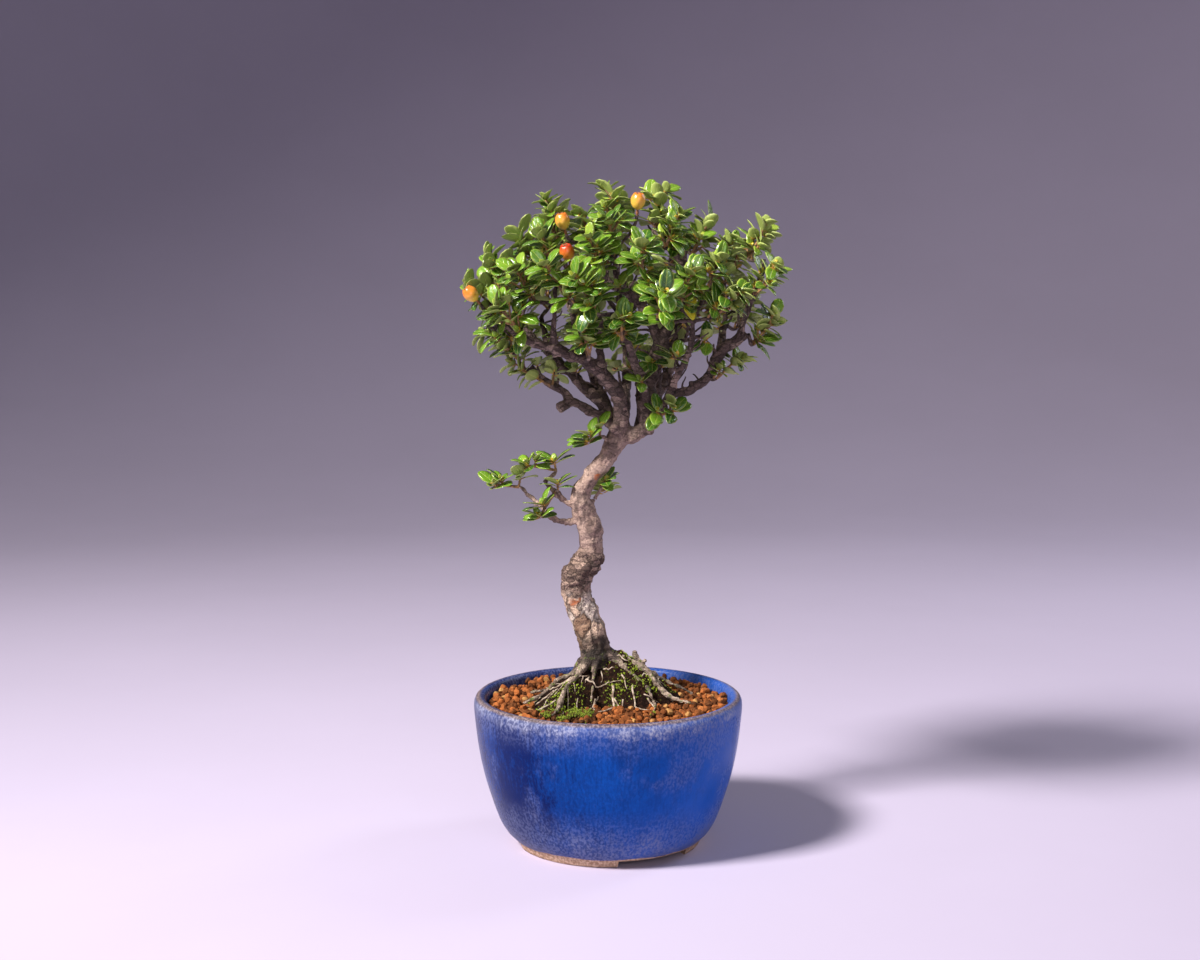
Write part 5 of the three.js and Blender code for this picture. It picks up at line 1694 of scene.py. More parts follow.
def tuft_shape(random):
    """A tuft of moss: a few thin spikes that lean apart."""
    spikes = []
    for step in range(TUFT_SPIKES):
        select_only(None)
        lean, turn = random.draw(0.1, 0.7), step * GOLDEN_ANGLE
        bpy.ops.mesh.primitive_cone_add(
            vertices=3, radius1=0.26, depth=random.draw(1.0, 1.7),
            location=(0.25 * math.cos(turn), 0.25 * math.sin(turn), 0.4),
            rotation=(-lean * math.sin(turn), lean * math.cos(turn), 0))
        spikes.append(bpy.context.object)
    tuft = join(spikes)
    apply_transform()
    return shape_of(tuft)


def moss_share(x, y):
    """How thick the moss stands at a place: none below 0, full from 1."""
    patches = noise_at(x * 0.16, y * 0.16, 21) * 0.5 - 0.3
    for spot_x, spot_y, reach, weight in MOSS_SPOTS:
        away = math.hypot(x - spot_x, y - spot_y) / reach
        patches += weight * math.exp(-away * away)
    return patches


def build_moss(settings):
    random = Stream(SEED + 2)
    shapes = [tuft_shape(random) for variant in range(4)]
    placings = []
    off_mound, on_soil_from = MOSS_EDGE_SHARES
    for attempt in range(settings.moss_tries):
        x, y = random.draw(*MOSS_ACROSS), random.draw(*MOSS_DEEP)
        luck, size = random.draw(), random.draw(*TUFT_SIZES)
        share, thick = mound_share(x, y), moss_share(x, y)
        on_soil = share > on_soil_from
        bare = luck > thick or (on_soil and thick < MOSS_ON_SOIL_SHARE)
        if bare or math.hypot(x, y) > SOIL_RADIUS - 1:
            continue
        axes = np.array(Matrix.Rotation(random.draw(0, 6.28), 3, "Z")) * size
        height = GRAIN_TOP_Z + random.draw(-0.6, 0.8) if on_soil else earth_height(x, y) - 0.1
        if off_mound < share < on_soil_from:
            height += MOSS_EDGE_LIFT
        tint = random.draw(*SOIL_MOSS_TINTS) if on_soil else random.draw()
        placings.append((random.pick(shapes), axes, np.array([x, y, height]), tint))
    finish_piece(scattered("moss", shapes, placings), "moss", [moss_material(settings)])


def rootlet_line(random, x, y, turn, length, radius):
    """A thin root that wanders outwards over the ground."""
    rows, steps = [], max(4, int(length / ROOTLET_STEP))
    for step in range(steps + 1):
        z = max(ground_height(x, y), earth_height(x, y)) + radius * 0.7
        rows.append([x, y, z, radius * (1.15 - 0.75 * (step / steps))])
        turn += random.draw(-ROOTLET_WANDER, ROOTLET_WANDER)
        x += math.cos(turn) * length / steps
        y += math.sin(turn) * length / steps
    return rows


def build_rootlets(settings):
    random = Stream(SEED + 3)
    lines = []
    for step in range(settings.rootlets):
        angle = random.draw(0, 2 * math.pi)
        away = random.draw(*ROOTLET_STARTS) * mound_reach(angle)
        x = TRUNK_FOOT[0] + away * math.cos(angle)
        y = TRUNK_FOOT[1] + away * math.sin(angle)
        turn = angle + random.draw(-ROOTLET_TURN, ROOTLET_TURN)
        length, radius = random.draw(*ROOTLET_LENGTHS), random.draw(*ROOTLET_RADII)
        lines.append(rootlet_line(random, x, y, turn, length, radius))
    for x, y, turn, length, radius in SHOWN_ROOTLETS:
        lines.append(rootlet_line(random, x, y, math.radians(turn), length, radius))
    finish_piece(tubes("rootlets", lines, 1), "rootlets", [rootlet_material()])


def build_mound(settings):
    finish_piece(mound_surface(), "earth_mound", [earth_material(settings)],
                 ["root_mound"])
    build_moss(settings)
    build_rootlets(settings)


# Wood
def gnarled(points, seed, rough):
    """A finer line along a limb, with the swellings and kinks of old wood."""
    points = np.asarray(points, float)
    places = points[:, :3]
    length = line_length(places)
    count = max(4, int(length / LIMB_STEP))
    rows = []
    for step in range(count + 1):
        along = step / count
        place, radius = smooth_place(places, along), radius_at(points, along)
        kink = np.array(noise.noise_vector(Vector(place * 0.21) + Vector((seed, 0, 0))))
        swell = noise.noise(Vector(place * 0.33) + Vector((0, seed, 0)))
        joint = max(0.0, math.cos(along * length / JOINT_SPACING * 2 * math.pi)) ** 6
        held = min(1.0, 3 * along)
        rows.append([*(place + kink * radius * rough * 0.4 * held),
                     radius * (1 + rough * (0.22 * swell + 0.12 * joint))])
    return np.array(rows)


def spurs(line, random):
    """Short knobs and spurs along a limb, where old twigs were cut."""
    found = []
    steps = max(2, int(SPUR_SPACING / LIMB_STEP))
    for start in range(steps, len(line) - 2, steps):
        index = min(len(line) - 2, start + int(random.draw(-2, 2)))
        place, radius = line[index, :3], line[index, 3]
        forward = unit(line[index + 1, :3] - line[index - 1, :3])
        out = unit(way_round(forward, random.draw(0, 2 * math.pi)) + forward * 0.5)
        reach = radius + random.draw(*SPUR_REACHES)
        thick = max(SPUR_LEAST_RADIUS, radius * random.draw(*SPUR_RADII))
        found.append([[*place, thick * 1.25], [*(place + out * reach * 0.6), thick],
                      [*(place + out * reach), thick * 0.75]])
    return found


def bark_relief(place):
    """How far the bark stands out at a place, in millimetres."""
    x, y, z = place
    on_trunk, at_foot = part_way(z, *RELIEF_ON_TRUNK), part_way(z, *FOLDS_AT_FOOT)
    twisted = math.exp(-((z - TWIST_MIDDLE) / TWIST_REACH) ** 2)
    flaky = math.exp(-((z - FLAKES_MIDDLE) / FLAKES_REACH) ** 2)
    lumps = noise.fractal(Vector(place) * 0.2, 1.0, 2.0, 3)
    fine = noise.fractal(Vector(place) * 0.75, 1.0, 2.0, 2)
    jagged = noise.fractal(Vector((x * 1.1, y * 1.1, z * 0.5)), 1.0, 2.0, 2)
    bend = 1.5 * noise_at(x * 0.2, y * 0.2, z * 0.2)
    folds = 1 - 2.6 * abs(noise_at(x * 0.16, y * 0.16, z * 0.5 + x * 0.2 + bend))
    cell = 0.5 - 0.2 * flaky
    nearest = noise.voronoi(Vector((x * cell, y * cell, z * cell * 0.75)))[0]
    edges = min(0.35, nearest[1] - nearest[0])
    relief = lumps * (0.3 + 0.35 * on_trunk) + fine * 0.16
    relief += twisted * (0.75 * folds + 0.35 * lumps)
    relief += (edges - 0.2) * (0.35 * on_trunk + 0.15) + jagged * flaky * 0.22
    return relief + at_foot * 0.35 * folds


def roughen(wood):
    places = vertex_places(wood)
    normals = np.zeros(places.size)
    wood.data.vertices.foreach_get("normal", normals)
    plan = places / MM - (AXIS_SHIFT, 0, 0)
    relief = np.array([bark_relief(place) for place in plan]) * MM
    move_vertices(wood, places + normals.reshape(-1, 3) * relief[:, None])


def wood_lines(growth):
    """Trunk, limbs with their spurs, roots, the broken root and the trunk's knobs."""
    random = Stream(SEED + 4)
    lines = [gnarled(TRUNK, 1.0, TRUNK_ROUGHNESS)]
    for index, limb in enumerate(growth.limbs[1:]):
        lines.append(gnarled(limb.points[:limb.planned], 3.0 + index, LIMB_ROUGHNESS))
        if limb.planned > 3:
            lines.extend(spurs(lines[-1], random))
    for index, (name, plan) in enumerate(ROOTS.items()):
        root = root_line(plan)
        root[1:, 3] *= ROOT_SLIMNESS.get(name, 1.0)
        lines.append(gnarled(root, 40.0 + index, 1.0))
    for broken in (BROKEN_ROOT, BROKEN_SPLINTER):
        lines.append([[x, y, ground_height(x, y) + up, radius] for x, y, up, radius in broken])
    for x, y, z, radius in TRUNK_KNOBS:
        core = min(TRUNK, key=lambda row: abs(row[2] - z))
        lines.append([[*core[:3], radius], [x, y, z, radius]])
    return lines


def build_wood(settings):
    growth = grown_plant()[0]
    wood = tubes("wood", wood_lines(growth), 4)
    union = wood.modifiers.new("union", "REMESH")
    union.mode, union.voxel_size = "VOXEL", settings.voxel
    ease = wood.modifiers.new("ease", "SMOOTH")
    ease.factor, ease.iterations = 0.5, 3
    apply_modifiers(wood)
    roughen(wood)
    bark = bark_material(settings)
    finish_piece(wood, "trunk_limbs_and_roots", [bark], ["trunk_branches_roots"])
    finish_piece(tubes("twigs", twig_lines(growth), 1), "twigs", [bark])


def inner_twigs(growth):
    """Short dead-looking twigs all along the crown's limbs, some of them leafy at the tip."""
    found = []
    crown = len(LIMBS) + len(HIDDEN_LIMBS)
    for index, limb in enumerate(growth.limbs[1:crown + 1]):
        random = Stream(SEED + 7000 + index)
        places = limb.points[:limb.planned, :3]
        length = line_length(places)
        for step in range(int(length / INNER_TWIG_SPACING)):
            along = min(1.0, (step + random.draw(0.3, 1.0)) * INNER_TWIG_SPACING / length)
            place, forward = smooth_place(places, along), smooth_heading(places, along)
            turn, reach = random.draw(0, 2 * math.pi), random.draw(*INNER_TWIG_LENGTHS)
            heading = unit(way_round(forward, turn) + forward * 0.6 + UP * 0.4)
            rows, radius = [], random.draw(*INNER_TWIG_RADII)
            if place[2] < INNER_TWIG_LOWEST:
                continue
            for joint in range(6):
                rows.append([*place, radius * (1.15 - 0.12 * joint)])
                heading = unit(heading + random.draws(-1, 1) * 0.38 + UP * 0.1)
                place = place + heading * reach / 5
            found.append({"line": rows, "end": np.array(rows[-1][:3]), "heading": heading,
                          "leafy": random.draw() < INNER_LEAFY_SHARE, "random": random,
                          "owner": INNER_OWNERS + len(found)})
    return found


def twig_lines(growth):
    """Thin wandering lines from the limbs to the sprays and berries, and inside the crown."""
    lines = []
    for index, (corners, wide) in enumerate(growth.twigs):
        count = max(5, int(np.linalg.norm(corners[3] - corners[0]) / TWIG_STEP))
        rows = []
        for step in range(count + 1):
            share = step / count
            place = bezier_place(corners, share)
            kink = np.array(noise.noise_vector(Vector(place * 0.4) + Vector((index, 0, 0))))
            joint = 1 + 0.3 * (step % 3 == 0)
            radius = (wide + (TWIG_TIP_RADIUS - wide) * share) * joint
            rows.append([*(place + kink * 0.5 * math.sin(math.pi * share)), radius])
        lines.append(rows)
    return lines + [twig["line"] for twig in inner_twigs(growth)]


# Leaves
def leaf_half_width(share):
    """Half the width of an oval leaf on a short stalk, as a share of its full width."""
    blade = max(0.0, (share - LEAF_STALK_SHARE) / (1 - LEAF_STALK_SHARE))
    oval = 0.5 * max(0.0, 1 - abs(2 * blade**0.88 - 1) ** 2.4) ** 0.6
    return max(oval, LEAF_STALK_HALF_WIDTH * (share < 0.5))


def leaf_shape(fold, arch, curl, wave):
    """A leaf of unit length: a grid drawn to an oval, folded and arched, with an underside."""
    select_only(None)
    bpy.ops.mesh.primitive_grid_add(
        x_subdivisions=LEAF_LONG, y_subdivisions=LEAF_WIDE, size=2)
    leaf = bpy.context.object
    top = len(leaf.data.vertices)
    with editing(leaf):
        bpy.ops.mesh.duplicate()
        bpy.ops.mesh.flip_normals()
    half = len(leaf.data.polygons) // 2
    set_mark(leaf.data, "under", "FACE", [0.0] * half + [1.0] * half)
    places = vertex_places(leaf)
    for index, place in enumerate(places):
        x, y = place[:2]
        share = 0.5 - 0.5 * math.cos(math.pi * (x + 1) / 2)
        across = y * leaf_half_width(share) * LEAF_WIDTH_RATIO * LEAF_WIDER
        rise = fold * abs(across) - arch * share**2 - curl * max(0.0, share - 0.6) ** 2
        rise += wave * math.sin(share * 11 + 2 * y) * abs(y) * 0.02
        lens = LEAF_HALF_THICKNESS * (1 - y * y) * (0 < share < 1)
        place[:] = (share, across, rise + (lens if index < top else -lens))
    move_vertices(leaf, places)
    with editing(leaf):
        bpy.ops.mesh.remove_doubles(threshold=LEAF_MERGE_DISTANCE)
    return shape_of(leaf)


def leaf_tip(leaf):
    return leaf_places(leaf, np.array([[1.0, 0.0]]))[0]


class Outline:
    """How far the solids' leaves reach from the crown's middle, in any direction."""

    def __init__(self, leaves):
        ways = np.array([leaf_tip(leaf) for leaf in leaves]) - CANOPY_CENTRE
        self.reaches = np.linalg.norm(ways, axis=1)
        self.headings = ways / self.reaches[:, None]

    def holds(self, leaf):
        way = leaf_tip(leaf) - CANOPY_CENTRE
        reach = np.linalg.norm(way)
        near = self.headings @ (way / reach) > OUTLINE_NEAR
        return near.any() and reach < self.reaches[near].max() + OUTLINE_SLACK


def low_heading(out):
    """Low sprays open upwards and to the front, to the light."""
    front, upwards, sideways = LOW_SPRAY_PULL
    return unit(UP * upwards + np.array([0, -front, 0]) + out * sideways)


def side_shoots(spray, count):
    """Short side shoots along a spray and the end of its twig, which the solids leave out."""
    random = Stream(SEED + 5000 + spray["index"])
    end = spray["shoot"][1]
    found = []
    for step in range(count):
        back = 0.1 + SIDE_SHOOT_BACK * (step + random.draw(0.2, 0.9)) / count
        if back < 1:
            foot = end + (spray["foot"] - end) * back
        else:
            foot = bezier_place(spray["corners"], 2 - back)
        turn = spray["phase"] + step * GOLDEN_ANGLE + random.draw(-0.4, 0.4)
        tilt = random.draw(*SIDE_SHOOT_TILTS)
        out = way_round(spray["heading"], turn)
        heading = spray["heading"] * math.cos(tilt) + out * math.sin(tilt) + UP * 0.55
        heading = low_heading(out) if spray["low"] else unit(heading)
        reach = random.draw(*SIDE_SHOOT_LENGTHS)
        tip = foot + heading * reach * (LOW_SHOOT_SIZE if spray["low"] else 1.0)
        found.append({"start": foot, "end": tip, "heading": heading, "random": random,
                      "phase": random.draw(0, 6.28), "owner": spray["index"], "low": spray["low"]})
    return found


def rosette_leaf(growth, shoot, share, outline=None):
    """One leaf of the rosette at a side shoot's tip: share runs from its heart to its rim."""
    random, heading = shoot["random"], shoot["heading"]
    foot = shoot["end"] - heading * ROSETTE_DEPTH * share
    heart_tilt, more_tilt = ROSETTE_TILTS
    turn = shoot["phase"] + share * ROSETTE_TURNS + random.draw(-0.3, 0.3)
    tilt = heart_tilt + more_tilt * share + random.draw(-0.12, 0.12)
    high = max(UNDER_CROWN_SIZE, part_way(foot[2], *UNDER_CROWN_HEIGHTS))
    length = random.draw(*SIDE_LEAF_LENGTHS) * (LOW_LEAF_SIZE if shoot["low"] else high)
    for attempt in range(SIDE_LEAF_TRIES):
        leaf = leaf_frame(foot, heading, turn + swing(attempt, SIDE_LEAF_SWING),
                          tilt - 0.06 * attempt, length * (1 - 0.05 * attempt))
        held = outline is None or outline.holds(leaf)
        if held and growth.fits(leaf, shoot["owner"], 0.0, SIDE_LEAF_CLEARANCE):
            leaf["heart"] = 1 - share
            growth.add(leaf, shoot["owner"])
            return


def dress_sprays(growth, sprays, settings):
    """Side shoots with their rosettes of leaves, round by round so that all get room."""
    outline = Outline([leaf for leaf in growth.leaves if leaf["foot"][2] > OUTLINE_FROM_Z])
    for spray in sprays:
        end, heading, owner = spray["shoot"][1], spray["heading"], spray["index"]
        thick = max(THIN_SPRAY_SHARE, part_way(end[2], *THIN_SPRAY_HEIGHTS))
        count = settings.small_side_shoots if spray["low"] else round(settings.side_shoots * thick)
        spray["sides"] = side_shoots(spray, count)
        if spray["low"]:
            heading = low_heading(heading)
            growth.drop_leaves(owner)
        tip = {"end": end, "heading": heading, "owner": owner, "phase": spray["phase"] + 1,
               "random": Stream(SEED + 6000 + owner), "low": spray["low"]}
        spray["rosettes"] = [tip, *spray["sides"]]
        for side in spray["sides"]:
            growth.bars.append([*side["start"], *side["end"], SIDE_SHOOT_RADIUS, owner])
    growth.settle_bars()
    most = settings.leaves_per_rosette
    for step in range(most):
        for spray in sprays:
            for rosette in spray["rosettes"]:
                held = None if spray["low"] else outline
                rosette_leaf(growth, rosette, (step + 0.5) / most, held)


def lit_axes(leaf):
    """A leaf's axes, rolled round its midrib so that the blade opens upwards and outwards."""
    along = leaf["along"]
    light = UP + LEAF_OUTWARD * unit((leaf["foot"] - CANOPY_CENTRE) * (1, 1, 0))
    face = unit(leaf["face"] + LEAF_ROLL * (light - along * (along @ light)))
    return np.array([along, np.cross(face, along), face]) * leaf["length"]


def hidden_from(leaf, spot):
    """How badly a leaf shows at a spot seen from the front: far off, far back or turned away."""
    middle = leaf["foot"] + leaf["along"] * leaf["length"] * 0.6
    beside = np.linalg.norm((middle - spot) * (1, 0, 1)) / YELLOW_REACH
    facing = -lit_axes(leaf)[2][1] / leaf["length"]
    return middle[1] + YELLOW_STRAY * max(0.0, beside - 1) - YELLOW_FACING * facing


def leaf_placing(leaf, random, shapes, low):
    """Where a leaf's copy goes: its shape, its axes, its foot and its shade of green, lighter
    higher in the crown as painted light.
    """
    high = part_way(leaf["foot"][2], *PAINTED_LIGHT_HEIGHTS)
    # Tint rises with height, giving painted light on high leaves and painted shade on low ones,
    # besides a random tone and the leaf's age in its rosette
    tint = 0.27 + 0.26 * random.draw(-1, 1) + 0.16 * leaf.get("heart", 0.4) + 0.16 * high
    tint = leaf.get("tint", clamp(tint + (0.06 if low else 0), 0.02, 0.84))
    return random.pick(shapes), lit_axes(leaf), leaf["foot"], tint


def heart_placings(end, heading, random, shapes):
    """Young leaves and orange bud scales in the heart of a rosette."""
    found = []
    for step in range(HEART_LEAVES):
        young = step < HEART_YOUNG_LEAVES
        turn, tilt = step * GOLDEN_ANGLE + random.draw(-0.4, 0.4), random.draw(0.15, 0.6)
        length = random.draw(*(YOUNG_LENGTHS if young else SCALE_LENGTHS))
        leaf = leaf_frame(end - heading * 0.5, heading, turn, tilt, length)
        axes = np.array([leaf["along"], leaf["across"], leaf["face"]]) * length
        tint = random.draw(*(YOUNG_TINTS if young else SCALE_TINTS))
        found.append((random.pick(shapes), axes, leaf["foot"], tint))
    return found


def shoot_line(start, end, radius):
    """A knobbly young stem."""
    rows = []
    for step in range(7):
        share = step / 6
        knob = 1.25 if step % 2 else 0.95
        rows.append([*(start + (end - start) * share), radius * knob * (1 - 0.25 * share)])
    return rows


def finish_leaves(name, placings, lines, shapes, materials, nodes=()):
    leaves = scattered("leaves", shapes, placings)
    leaves.data.materials.append(materials[0])
    stems = tubes("stems", lines, 1)
    stems.data.materials.append(materials[1])
    finish_piece(join([leaves, stems]), name, [], nodes)


def build_spray(spray, growth, shapes, materials):
    random = Stream(SEED + 9000 + spray["index"])
    placings = [leaf_placing(leaf, random, shapes, spray["low"])
                for leaf in growth.leaves if leaf["owner"] == spray["index"]]
    lines = [shoot_line(spray["foot"], spray["shoot"][1], 0.6)]
    lines += [shoot_line(side["start"], side["end"], 0.48) for side in spray["sides"]]
    for rosette in spray["rosettes"]:
        placings += heart_placings(rosette["end"], rosette["heading"], random, shapes)
    name = node_name(spray["name"])
    finish_leaves(f"spray_{name}", placings, lines, shapes, materials, [f"leaves_{name}"])


def build_inner_leaves(growth, shapes, materials):
    """A few small leaves on the twigs inside the crown."""
    random, placings, lines = Stream(SEED + 8000), [], []
    for twig in inner_twigs(growth):
        if not twig["leafy"]:
            continue
        twig.update(phase=twig["random"].draw(0, 6.28), low=True)
        for step in range(INNER_LEAVES):
            rosette_leaf(growth, twig, (step + 0.5) / INNER_LEAVES)
        placings += heart_placings(twig["end"], twig["heading"], random, shapes)
        lines.append(shoot_line(twig["end"] - twig["heading"], twig["end"], 0.4))
    placings += [leaf_placing(leaf, random, shapes, False)
                 for leaf in growth.leaves if leaf["owner"] >= INNER_OWNERS]
    finish_leaves("inner_leaves", placings, lines, shapes, materials)


def build_leaves(settings):
    growth, sprays = grown_plant()
    dress_sprays(growth, sprays, settings)
    for spot in YELLOW_LEAVES:
        min(growth.leaves, key=lambda leaf: hidden_from(leaf, spot))["tint"] = YELLOW_TINT
    shapes = [leaf_shape(*form) for form in LEAF_FORMS]
    materials = leaf_materials(settings)
    for spray in sprays:
        build_spray(spray, growth, shapes, materials)
    build_inner_leaves(growth, shapes, materials)


# Berries
def berry_skin(material, ripeness):
    """An apple-shaped skin with a sunken eye and lips round it."""
    select_only(None)
    bpy.ops.mesh.primitive_uv_sphere_add(segments=28, ring_count=18, radius=1)
    skin = bpy.context.object
    places = vertex_places(skin)
    up = places[:, 2].copy()
    around = np.arctan2(places[:, 1], places[:, 0])
    flare = (0.97 + 0.1 * up) * (1 + 0.04 * np.sin(3 * around) * (1 - up**2))
    round_eye = np.exp(-((1 - up) / 0.07) ** 2)
    lips = 0.1 * np.exp(-((0.82 - up) / 0.1) ** 2) * (1 + 0.6 * np.cos(5 * around))
    places[:, :2] *= flare[:, None]
    places[:, 2] = up * 1.14 - round_eye * 0.4 + lips
    set_mark(skin.data, "ripe", "POINT", ripeness + 0.42 * up)
    skin.data.materials.append(material)
    move_vertices(skin, places * BERRY_SHOWN_RADIUS)
    return skin


def build_berry(berry, materials):
    """A berry with five dry points round its eye, on its stalk."""
    parts = [berry_skin(materials[0], BERRY_RIPENESS[berry["name"]])]
    for step in range(BERRY_POINTS):
        turn = step * 2 * math.pi / BERRY_POINTS
        select_only(None)
        bpy.ops.mesh.primitive_cone_add(
            vertices=5, radius1=0.5, depth=1.3,
            location=(0.75 * math.cos(turn), 0.75 * math.sin(turn), BERRY_SHOWN_RADIUS * 1.06),
            rotation=(-0.5 * math.sin(turn), 0.5 * math.cos(turn), 0))
        bpy.context.object.data.materials.append(materials[1])
        parts.append(bpy.context.object)
    whole = join(parts)
    apply_transform()
    turn = Vector(UP).rotation_difference(Vector(berry["heading"])).to_matrix()
    places = vertex_places(whole) @ np.array(turn).T + berry["centre"]
    move_vertices(whole, row_places(places))
    stalk = tubes("stalk", [shoot_line(berry["foot"], berry["centre"], 0.55)], 2)
    stalk.data.materials.append(materials[1])
    name = node_name(berry["name"])
    finish_piece(join([whole, stalk]), f"{name}_fruit", [], [name])


def build_berries(settings):
    materials = berry_materials(settings)
    for berry in make_berries():
        build_berry(berry, materials)


# Stage
def studio_floor():
    """A round floor that sweeps up on all sides, so that every view has the same backdrop."""
    select_only(None)
    bpy.ops.mesh.primitive_circle_add(vertices=FLOOR_SIDES, radius=FLOOR_RADIUS, fill_type="NGON")
    floor = bpy.context.object
    with editing(floor):
        bpy.ops.mesh.select_mode(type="EDGE")
        bpy.ops.mesh.select_all(action="SELECT")
        bpy.ops.mesh.region_to_loop()
        turn, reach = math.pi / 2 / SWEEP_STEPS, FLOOR_RADIUS
        for step in range(SWEEP_STEPS):
            wider = FLOOR_RADIUS + SWEEP_RADIUS * math.sin(turn * (step + 1))
            rise = SWEEP_RADIUS * (math.cos(turn * step) - math.cos(turn * (step + 1)))
            ratio = wider / reach
            bpy.ops.mesh.extrude_region_move(TRANSFORM_OT_translate={"value": (0, 0, rise)})
            bpy.ops.transform.resize(value=(ratio, ratio, 1), center_override=(0, 0, 0))
            reach = wider
        bpy.ops.mesh.select_mode(type="VERT")
    bpy.ops.object.shade_smooth()
    floor.name = "studio_floor"
    return floor


def soft_light(name, power, place, size, colour, spread):
    """A rectangle of light turned to the plant's middle, that the camera doesn't see."""
    select_only(None)
    bpy.ops.object.light_add(type="AREA", location=place)
    light = bpy.context.object
    light.name = name
    light.data.shape = "RECTANGLE"
    light.data.size, light.data.size_y = size
    light.data.energy, light.data.color, light.data.spread = power, colour, spread
    way = Vector(LIT_MIDDLE) - Vector(place)
    light.rotation_euler = way.to_track_quat("-Z", "Y").to_euler()
    light.visible_camera = False


def place_camera():
    select_only(None)
    bpy.ops.object.camera_add(location=[part * MM for part in CAMERA_PLACE],
                              rotation=(math.pi / 2 - CAMERA_DOWN, 0, 0))
    camera = bpy.context.object
    camera.name = "camera"
    camera.data.lens, camera.data.sensor_width = CAMERA_LENS, CAMERA_SENSOR
    camera.data.clip_start, camera.data.clip_end = CAMERA_CLIP
    bpy.context.scene.camera = camera


def build_stage(settings):
    floor = studio_floor()
    paint = Paint("pale_floor")
    clouded = [part * 0.96 for part in settings.floor]
    colour = paint.mix(settings.floor, clouded, paint.mottle(3, 0.3, 0.7))
    floor.data.materials.append(paint.finish(colour, 0.9))

    scene = bpy.context.scene
    scene.view_settings.view_transform = "Standard"
    for name, light in LIGHTS.items():
        soft_light(name, getattr(settings, f"{name}_power"), *light)

    world = scene.world or bpy.data.worlds.new("studio_air")
    scene.world = world
    world.use_nodes = True
    air = world.node_tree.nodes["Background"]
    air.inputs["Color"].default_value = solid(settings.air)
    air.inputs["Strength"].default_value = settings.air_strength
    place_camera()


# Settings
def colour_setting(name, description, default):
    return FloatVectorProperty(name=name, description=description, default=default, size=3,
                               min=0, max=1, subtype="COLOR")


def length_setting(name, description, default):
    return FloatProperty(name=name, description=description, default=default, min=0,
                         subtype="DISTANCE", unit="LENGTH")


def count_setting(name, description, default, least=0):
    return IntProperty(name=name, description=description, default=default, min=least)


def strength_setting(name, description, default, unit="NONE"):
    return FloatProperty(name=name, description=description, default=default, min=0, unit=unit)


class PotSettings(PropertyGroup):
    sides: count_setting("Sides", "Faces round the pot", 160, 24)
    # The deep blue is also painted shade on the pot's left side, and the bright blue is also
    # painted light on its right side
    deep_and_shaded_glaze: colour_setting(
        "Deep glaze", "Blue where the glaze lies thick", (0.0003, 0.009, 0.082))
    bright_and_lit_glaze: colour_setting(
        "Bright glaze", "Blue where the glaze is thin", (0.003, 0.1, 0.52))
    bloom: colour_setting(
        "Lime bloom", "Pale lime that water left on the glaze", (0.41, 0.42, 0.54))


class SoilSettings(PropertyGroup):
    grain_size: length_setting("Grain size", "Width of an average grain of akadama", 0.0028)
    grain: colour_setting("Grain", "Fired clay of most grains", (0.22, 0.066, 0.017))
    dark_grain: colour_setting("Dark grain", "Damp grains", (0.05, 0.015, 0.005))
    pale_grain: colour_setting("Pale grain", "Dry pumice grains", (0.52, 0.27, 0.09))


class MoundSettings(PropertyGroup):
    moss_tries: count_setting("Moss", "Tufts of moss tried over the mound", 14500)
    rootlets: count_setting("Rootlets", "Thin roots over the mound, besides the shown ones", 70)
    earth: colour_setting("Earth", "Dark earth on the roots", (0.012, 0.005, 0.003))
    moss: colour_setting("Moss", "Green of the moss", (0.22, 0.28, 0.012))


class WoodSettings(PropertyGroup):
    voxel: length_setting("Grain of the bark", "Size of the cells that join the limbs", 0.00055)
    bark: colour_setting("Bark", "Old grey-brown bark", (0.22, 0.135, 0.115))
    pale_bark: colour_setting("Pale bark", "Flakes that stand out pale", (0.54, 0.375, 0.3))
    tan_bark: colour_setting("Tan bark", "Smoother bark of the trunk", (0.3, 0.18, 0.135))


class LeafSettings(PropertyGroup):
    side_shoots: count_setting("Side shoots", "Side shoots round each spray of the crown", 6)
    small_side_shoots: count_setting("Small side shoots", "Side shoots round each low spray", 2)
    leaves_per_rosette: count_setting("Leaves per rosette", "Leaves at a side shoot's tip", 5, 1)
    leaf: colour_setting("Leaf", "Grown leaves", (0.05, 0.14, 0.008))
    bright_leaf: colour_setting("Bright leaf", "Leaves in full light", (0.17, 0.33, 0.02))
    young_leaf: colour_setting("Young leaf", "Leaves at the tips of shoots", (0.38, 0.48, 0.06))
    underside: colour_setting("Underside", "Dull side of the leaves", (0.3, 0.37, 0.08))


class BerrySettings(PropertyGroup):
    yellow: colour_setting("Unripe", "Skin by the stalk", (0.8, 0.48, 0.07))
    orange: colour_setting("Half ripe", "Skin round the middle", (0.78, 0.24, 0.03))
    red: colour_setting("Ripe", "Skin round the eye", (0.5, 0.035, 0.012))


class StageSettings(PropertyGroup):
    floor: colour_setting("Floor", "Floor and backdrop", (0.57, 0.5, 0.65))
    air: colour_setting("Air", "Light from all round", (0.95, 0.96, 1.0))
    air_strength: strength_setting("Air strength", "How strong the light from all round is", 0.13)
    key_power: strength_setting("Key light", "Light from the left and in front", 14, "POWER")
    fill_power: strength_setting("Fill light", "Soft light from in front", 4.6, "POWER")
    rim_power: strength_setting("Rim light", "Light from behind on the right", 3.5, "POWER")


# Operators
class BONSAI_OT_pot(Operator):
    """Turn the pot and glaze it"""

    bl_idname = "bonsai.pot"
    bl_label = "Pot"

    def execute(self, context):
        build_pot(context.scene.bonsai_pot)
        return {"FINISHED"}


class BONSAI_OT_soil(Operator):
    """Fill the pot with grains of akadama"""

    bl_idname = "bonsai.soil"
    bl_label = "Soil"

    def execute(self, context):
        build_soil(context.scene.bonsai_soil)
        return {"FINISHED"}


class BONSAI_OT_mound(Operator):
    """Raise the earth mound with its moss and rootlets"""

    bl_idname = "bonsai.mound"
    bl_label = "Mound"

    def execute(self, context):
        build_mound(context.scene.bonsai_mound)
        return {"FINISHED"}


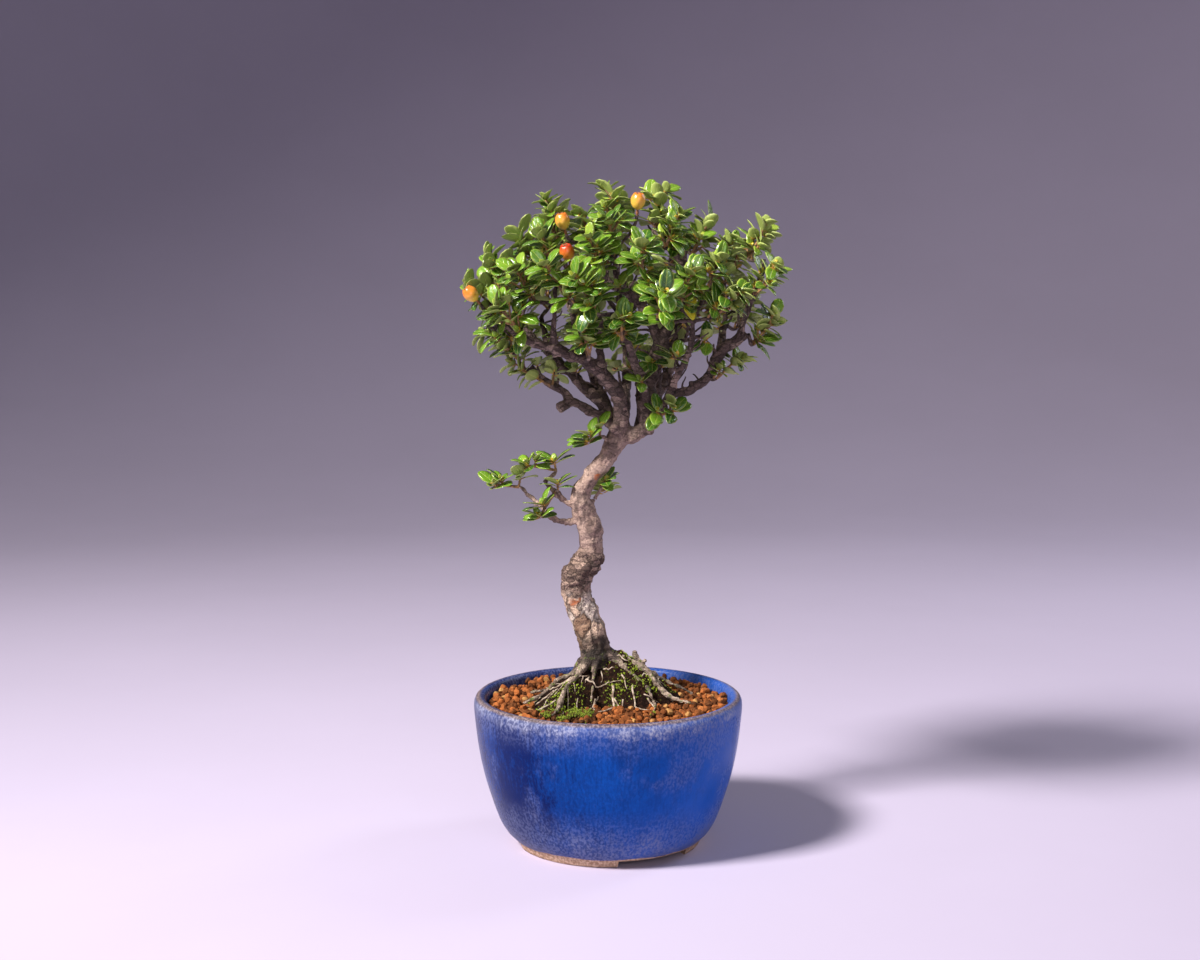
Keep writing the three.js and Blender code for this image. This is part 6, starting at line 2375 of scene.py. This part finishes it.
class BONSAI_OT_wood(Operator):
    """Grow the trunk, limbs, roots and twigs"""

    bl_idname = "bonsai.wood"
    bl_label = "Wood"

    def execute(self, context):
        build_wood(context.scene.bonsai_wood)
        return {"FINISHED"}


class BONSAI_OT_leaves(Operator):
    """Grow the sprays of leaves"""

    bl_idname = "bonsai.leaves"
    bl_label = "Leaves"

    def execute(self, context):
        build_leaves(context.scene.bonsai_leaves)
        return {"FINISHED"}


class BONSAI_OT_berries(Operator):
    """Hang the berries on their stalks"""

    bl_idname = "bonsai.berries"
    bl_label = "Berries"

    def execute(self, context):
        build_berries(context.scene.bonsai_berries)
        return {"FINISHED"}


class BONSAI_OT_stage(Operator):
    """Lay the floor and set up the lights and the camera"""

    bl_idname = "bonsai.stage"
    bl_label = "Stage"

    def execute(self, context):
        build_stage(context.scene.bonsai_stage)
        return {"FINISHED"}


STEPS = [
    (BONSAI_OT_pot, PotSettings),
    (BONSAI_OT_soil, SoilSettings),
    (BONSAI_OT_mound, MoundSettings),
    (BONSAI_OT_wood, WoodSettings),
    (BONSAI_OT_leaves, LeafSettings),
    (BONSAI_OT_berries, BerrySettings),
    (BONSAI_OT_stage, StageSettings),
]


class BONSAI_PT_sidebar(Panel):
    """Steps of the bonsai, each with its settings"""

    bl_idname = "BONSAI_PT_sidebar"
    bl_label = "Bonsai"
    bl_space_type = "VIEW_3D"
    bl_region_type = "UI"
    bl_category = "Bonsai"

    def draw(self, context):
        for step, group in STEPS:
            box = self.layout.box()
            box.operator(step.bl_idname)
            settings = getattr(context.scene, step.bl_idname.replace(".", "_"))
            for name in group.__annotations__:
                box.prop(settings, name)


def register():
    for step, group in STEPS:
        bpy.utils.register_class(group)
        bpy.utils.register_class(step)
        name = step.bl_idname.replace(".", "_")
        setattr(bpy.types.Scene, name, PointerProperty(type=group))
    bpy.utils.register_class(BONSAI_PT_sidebar)


def unregister():
    bpy.utils.unregister_class(BONSAI_PT_sidebar)
    for step, group in reversed(STEPS):
        delattr(bpy.types.Scene, step.bl_idname.replace(".", "_"))
        bpy.utils.unregister_class(step)
        bpy.utils.unregister_class(group)


def main():
    register()
    bpy.ops.bonsai.pot()
    bpy.ops.bonsai.soil()
    bpy.ops.bonsai.mound()
    bpy.ops.bonsai.wood()
    bpy.ops.bonsai.leaves()
    bpy.ops.bonsai.berries()
    bpy.ops.bonsai.stage()


if __name__ == "__main__":
    main()
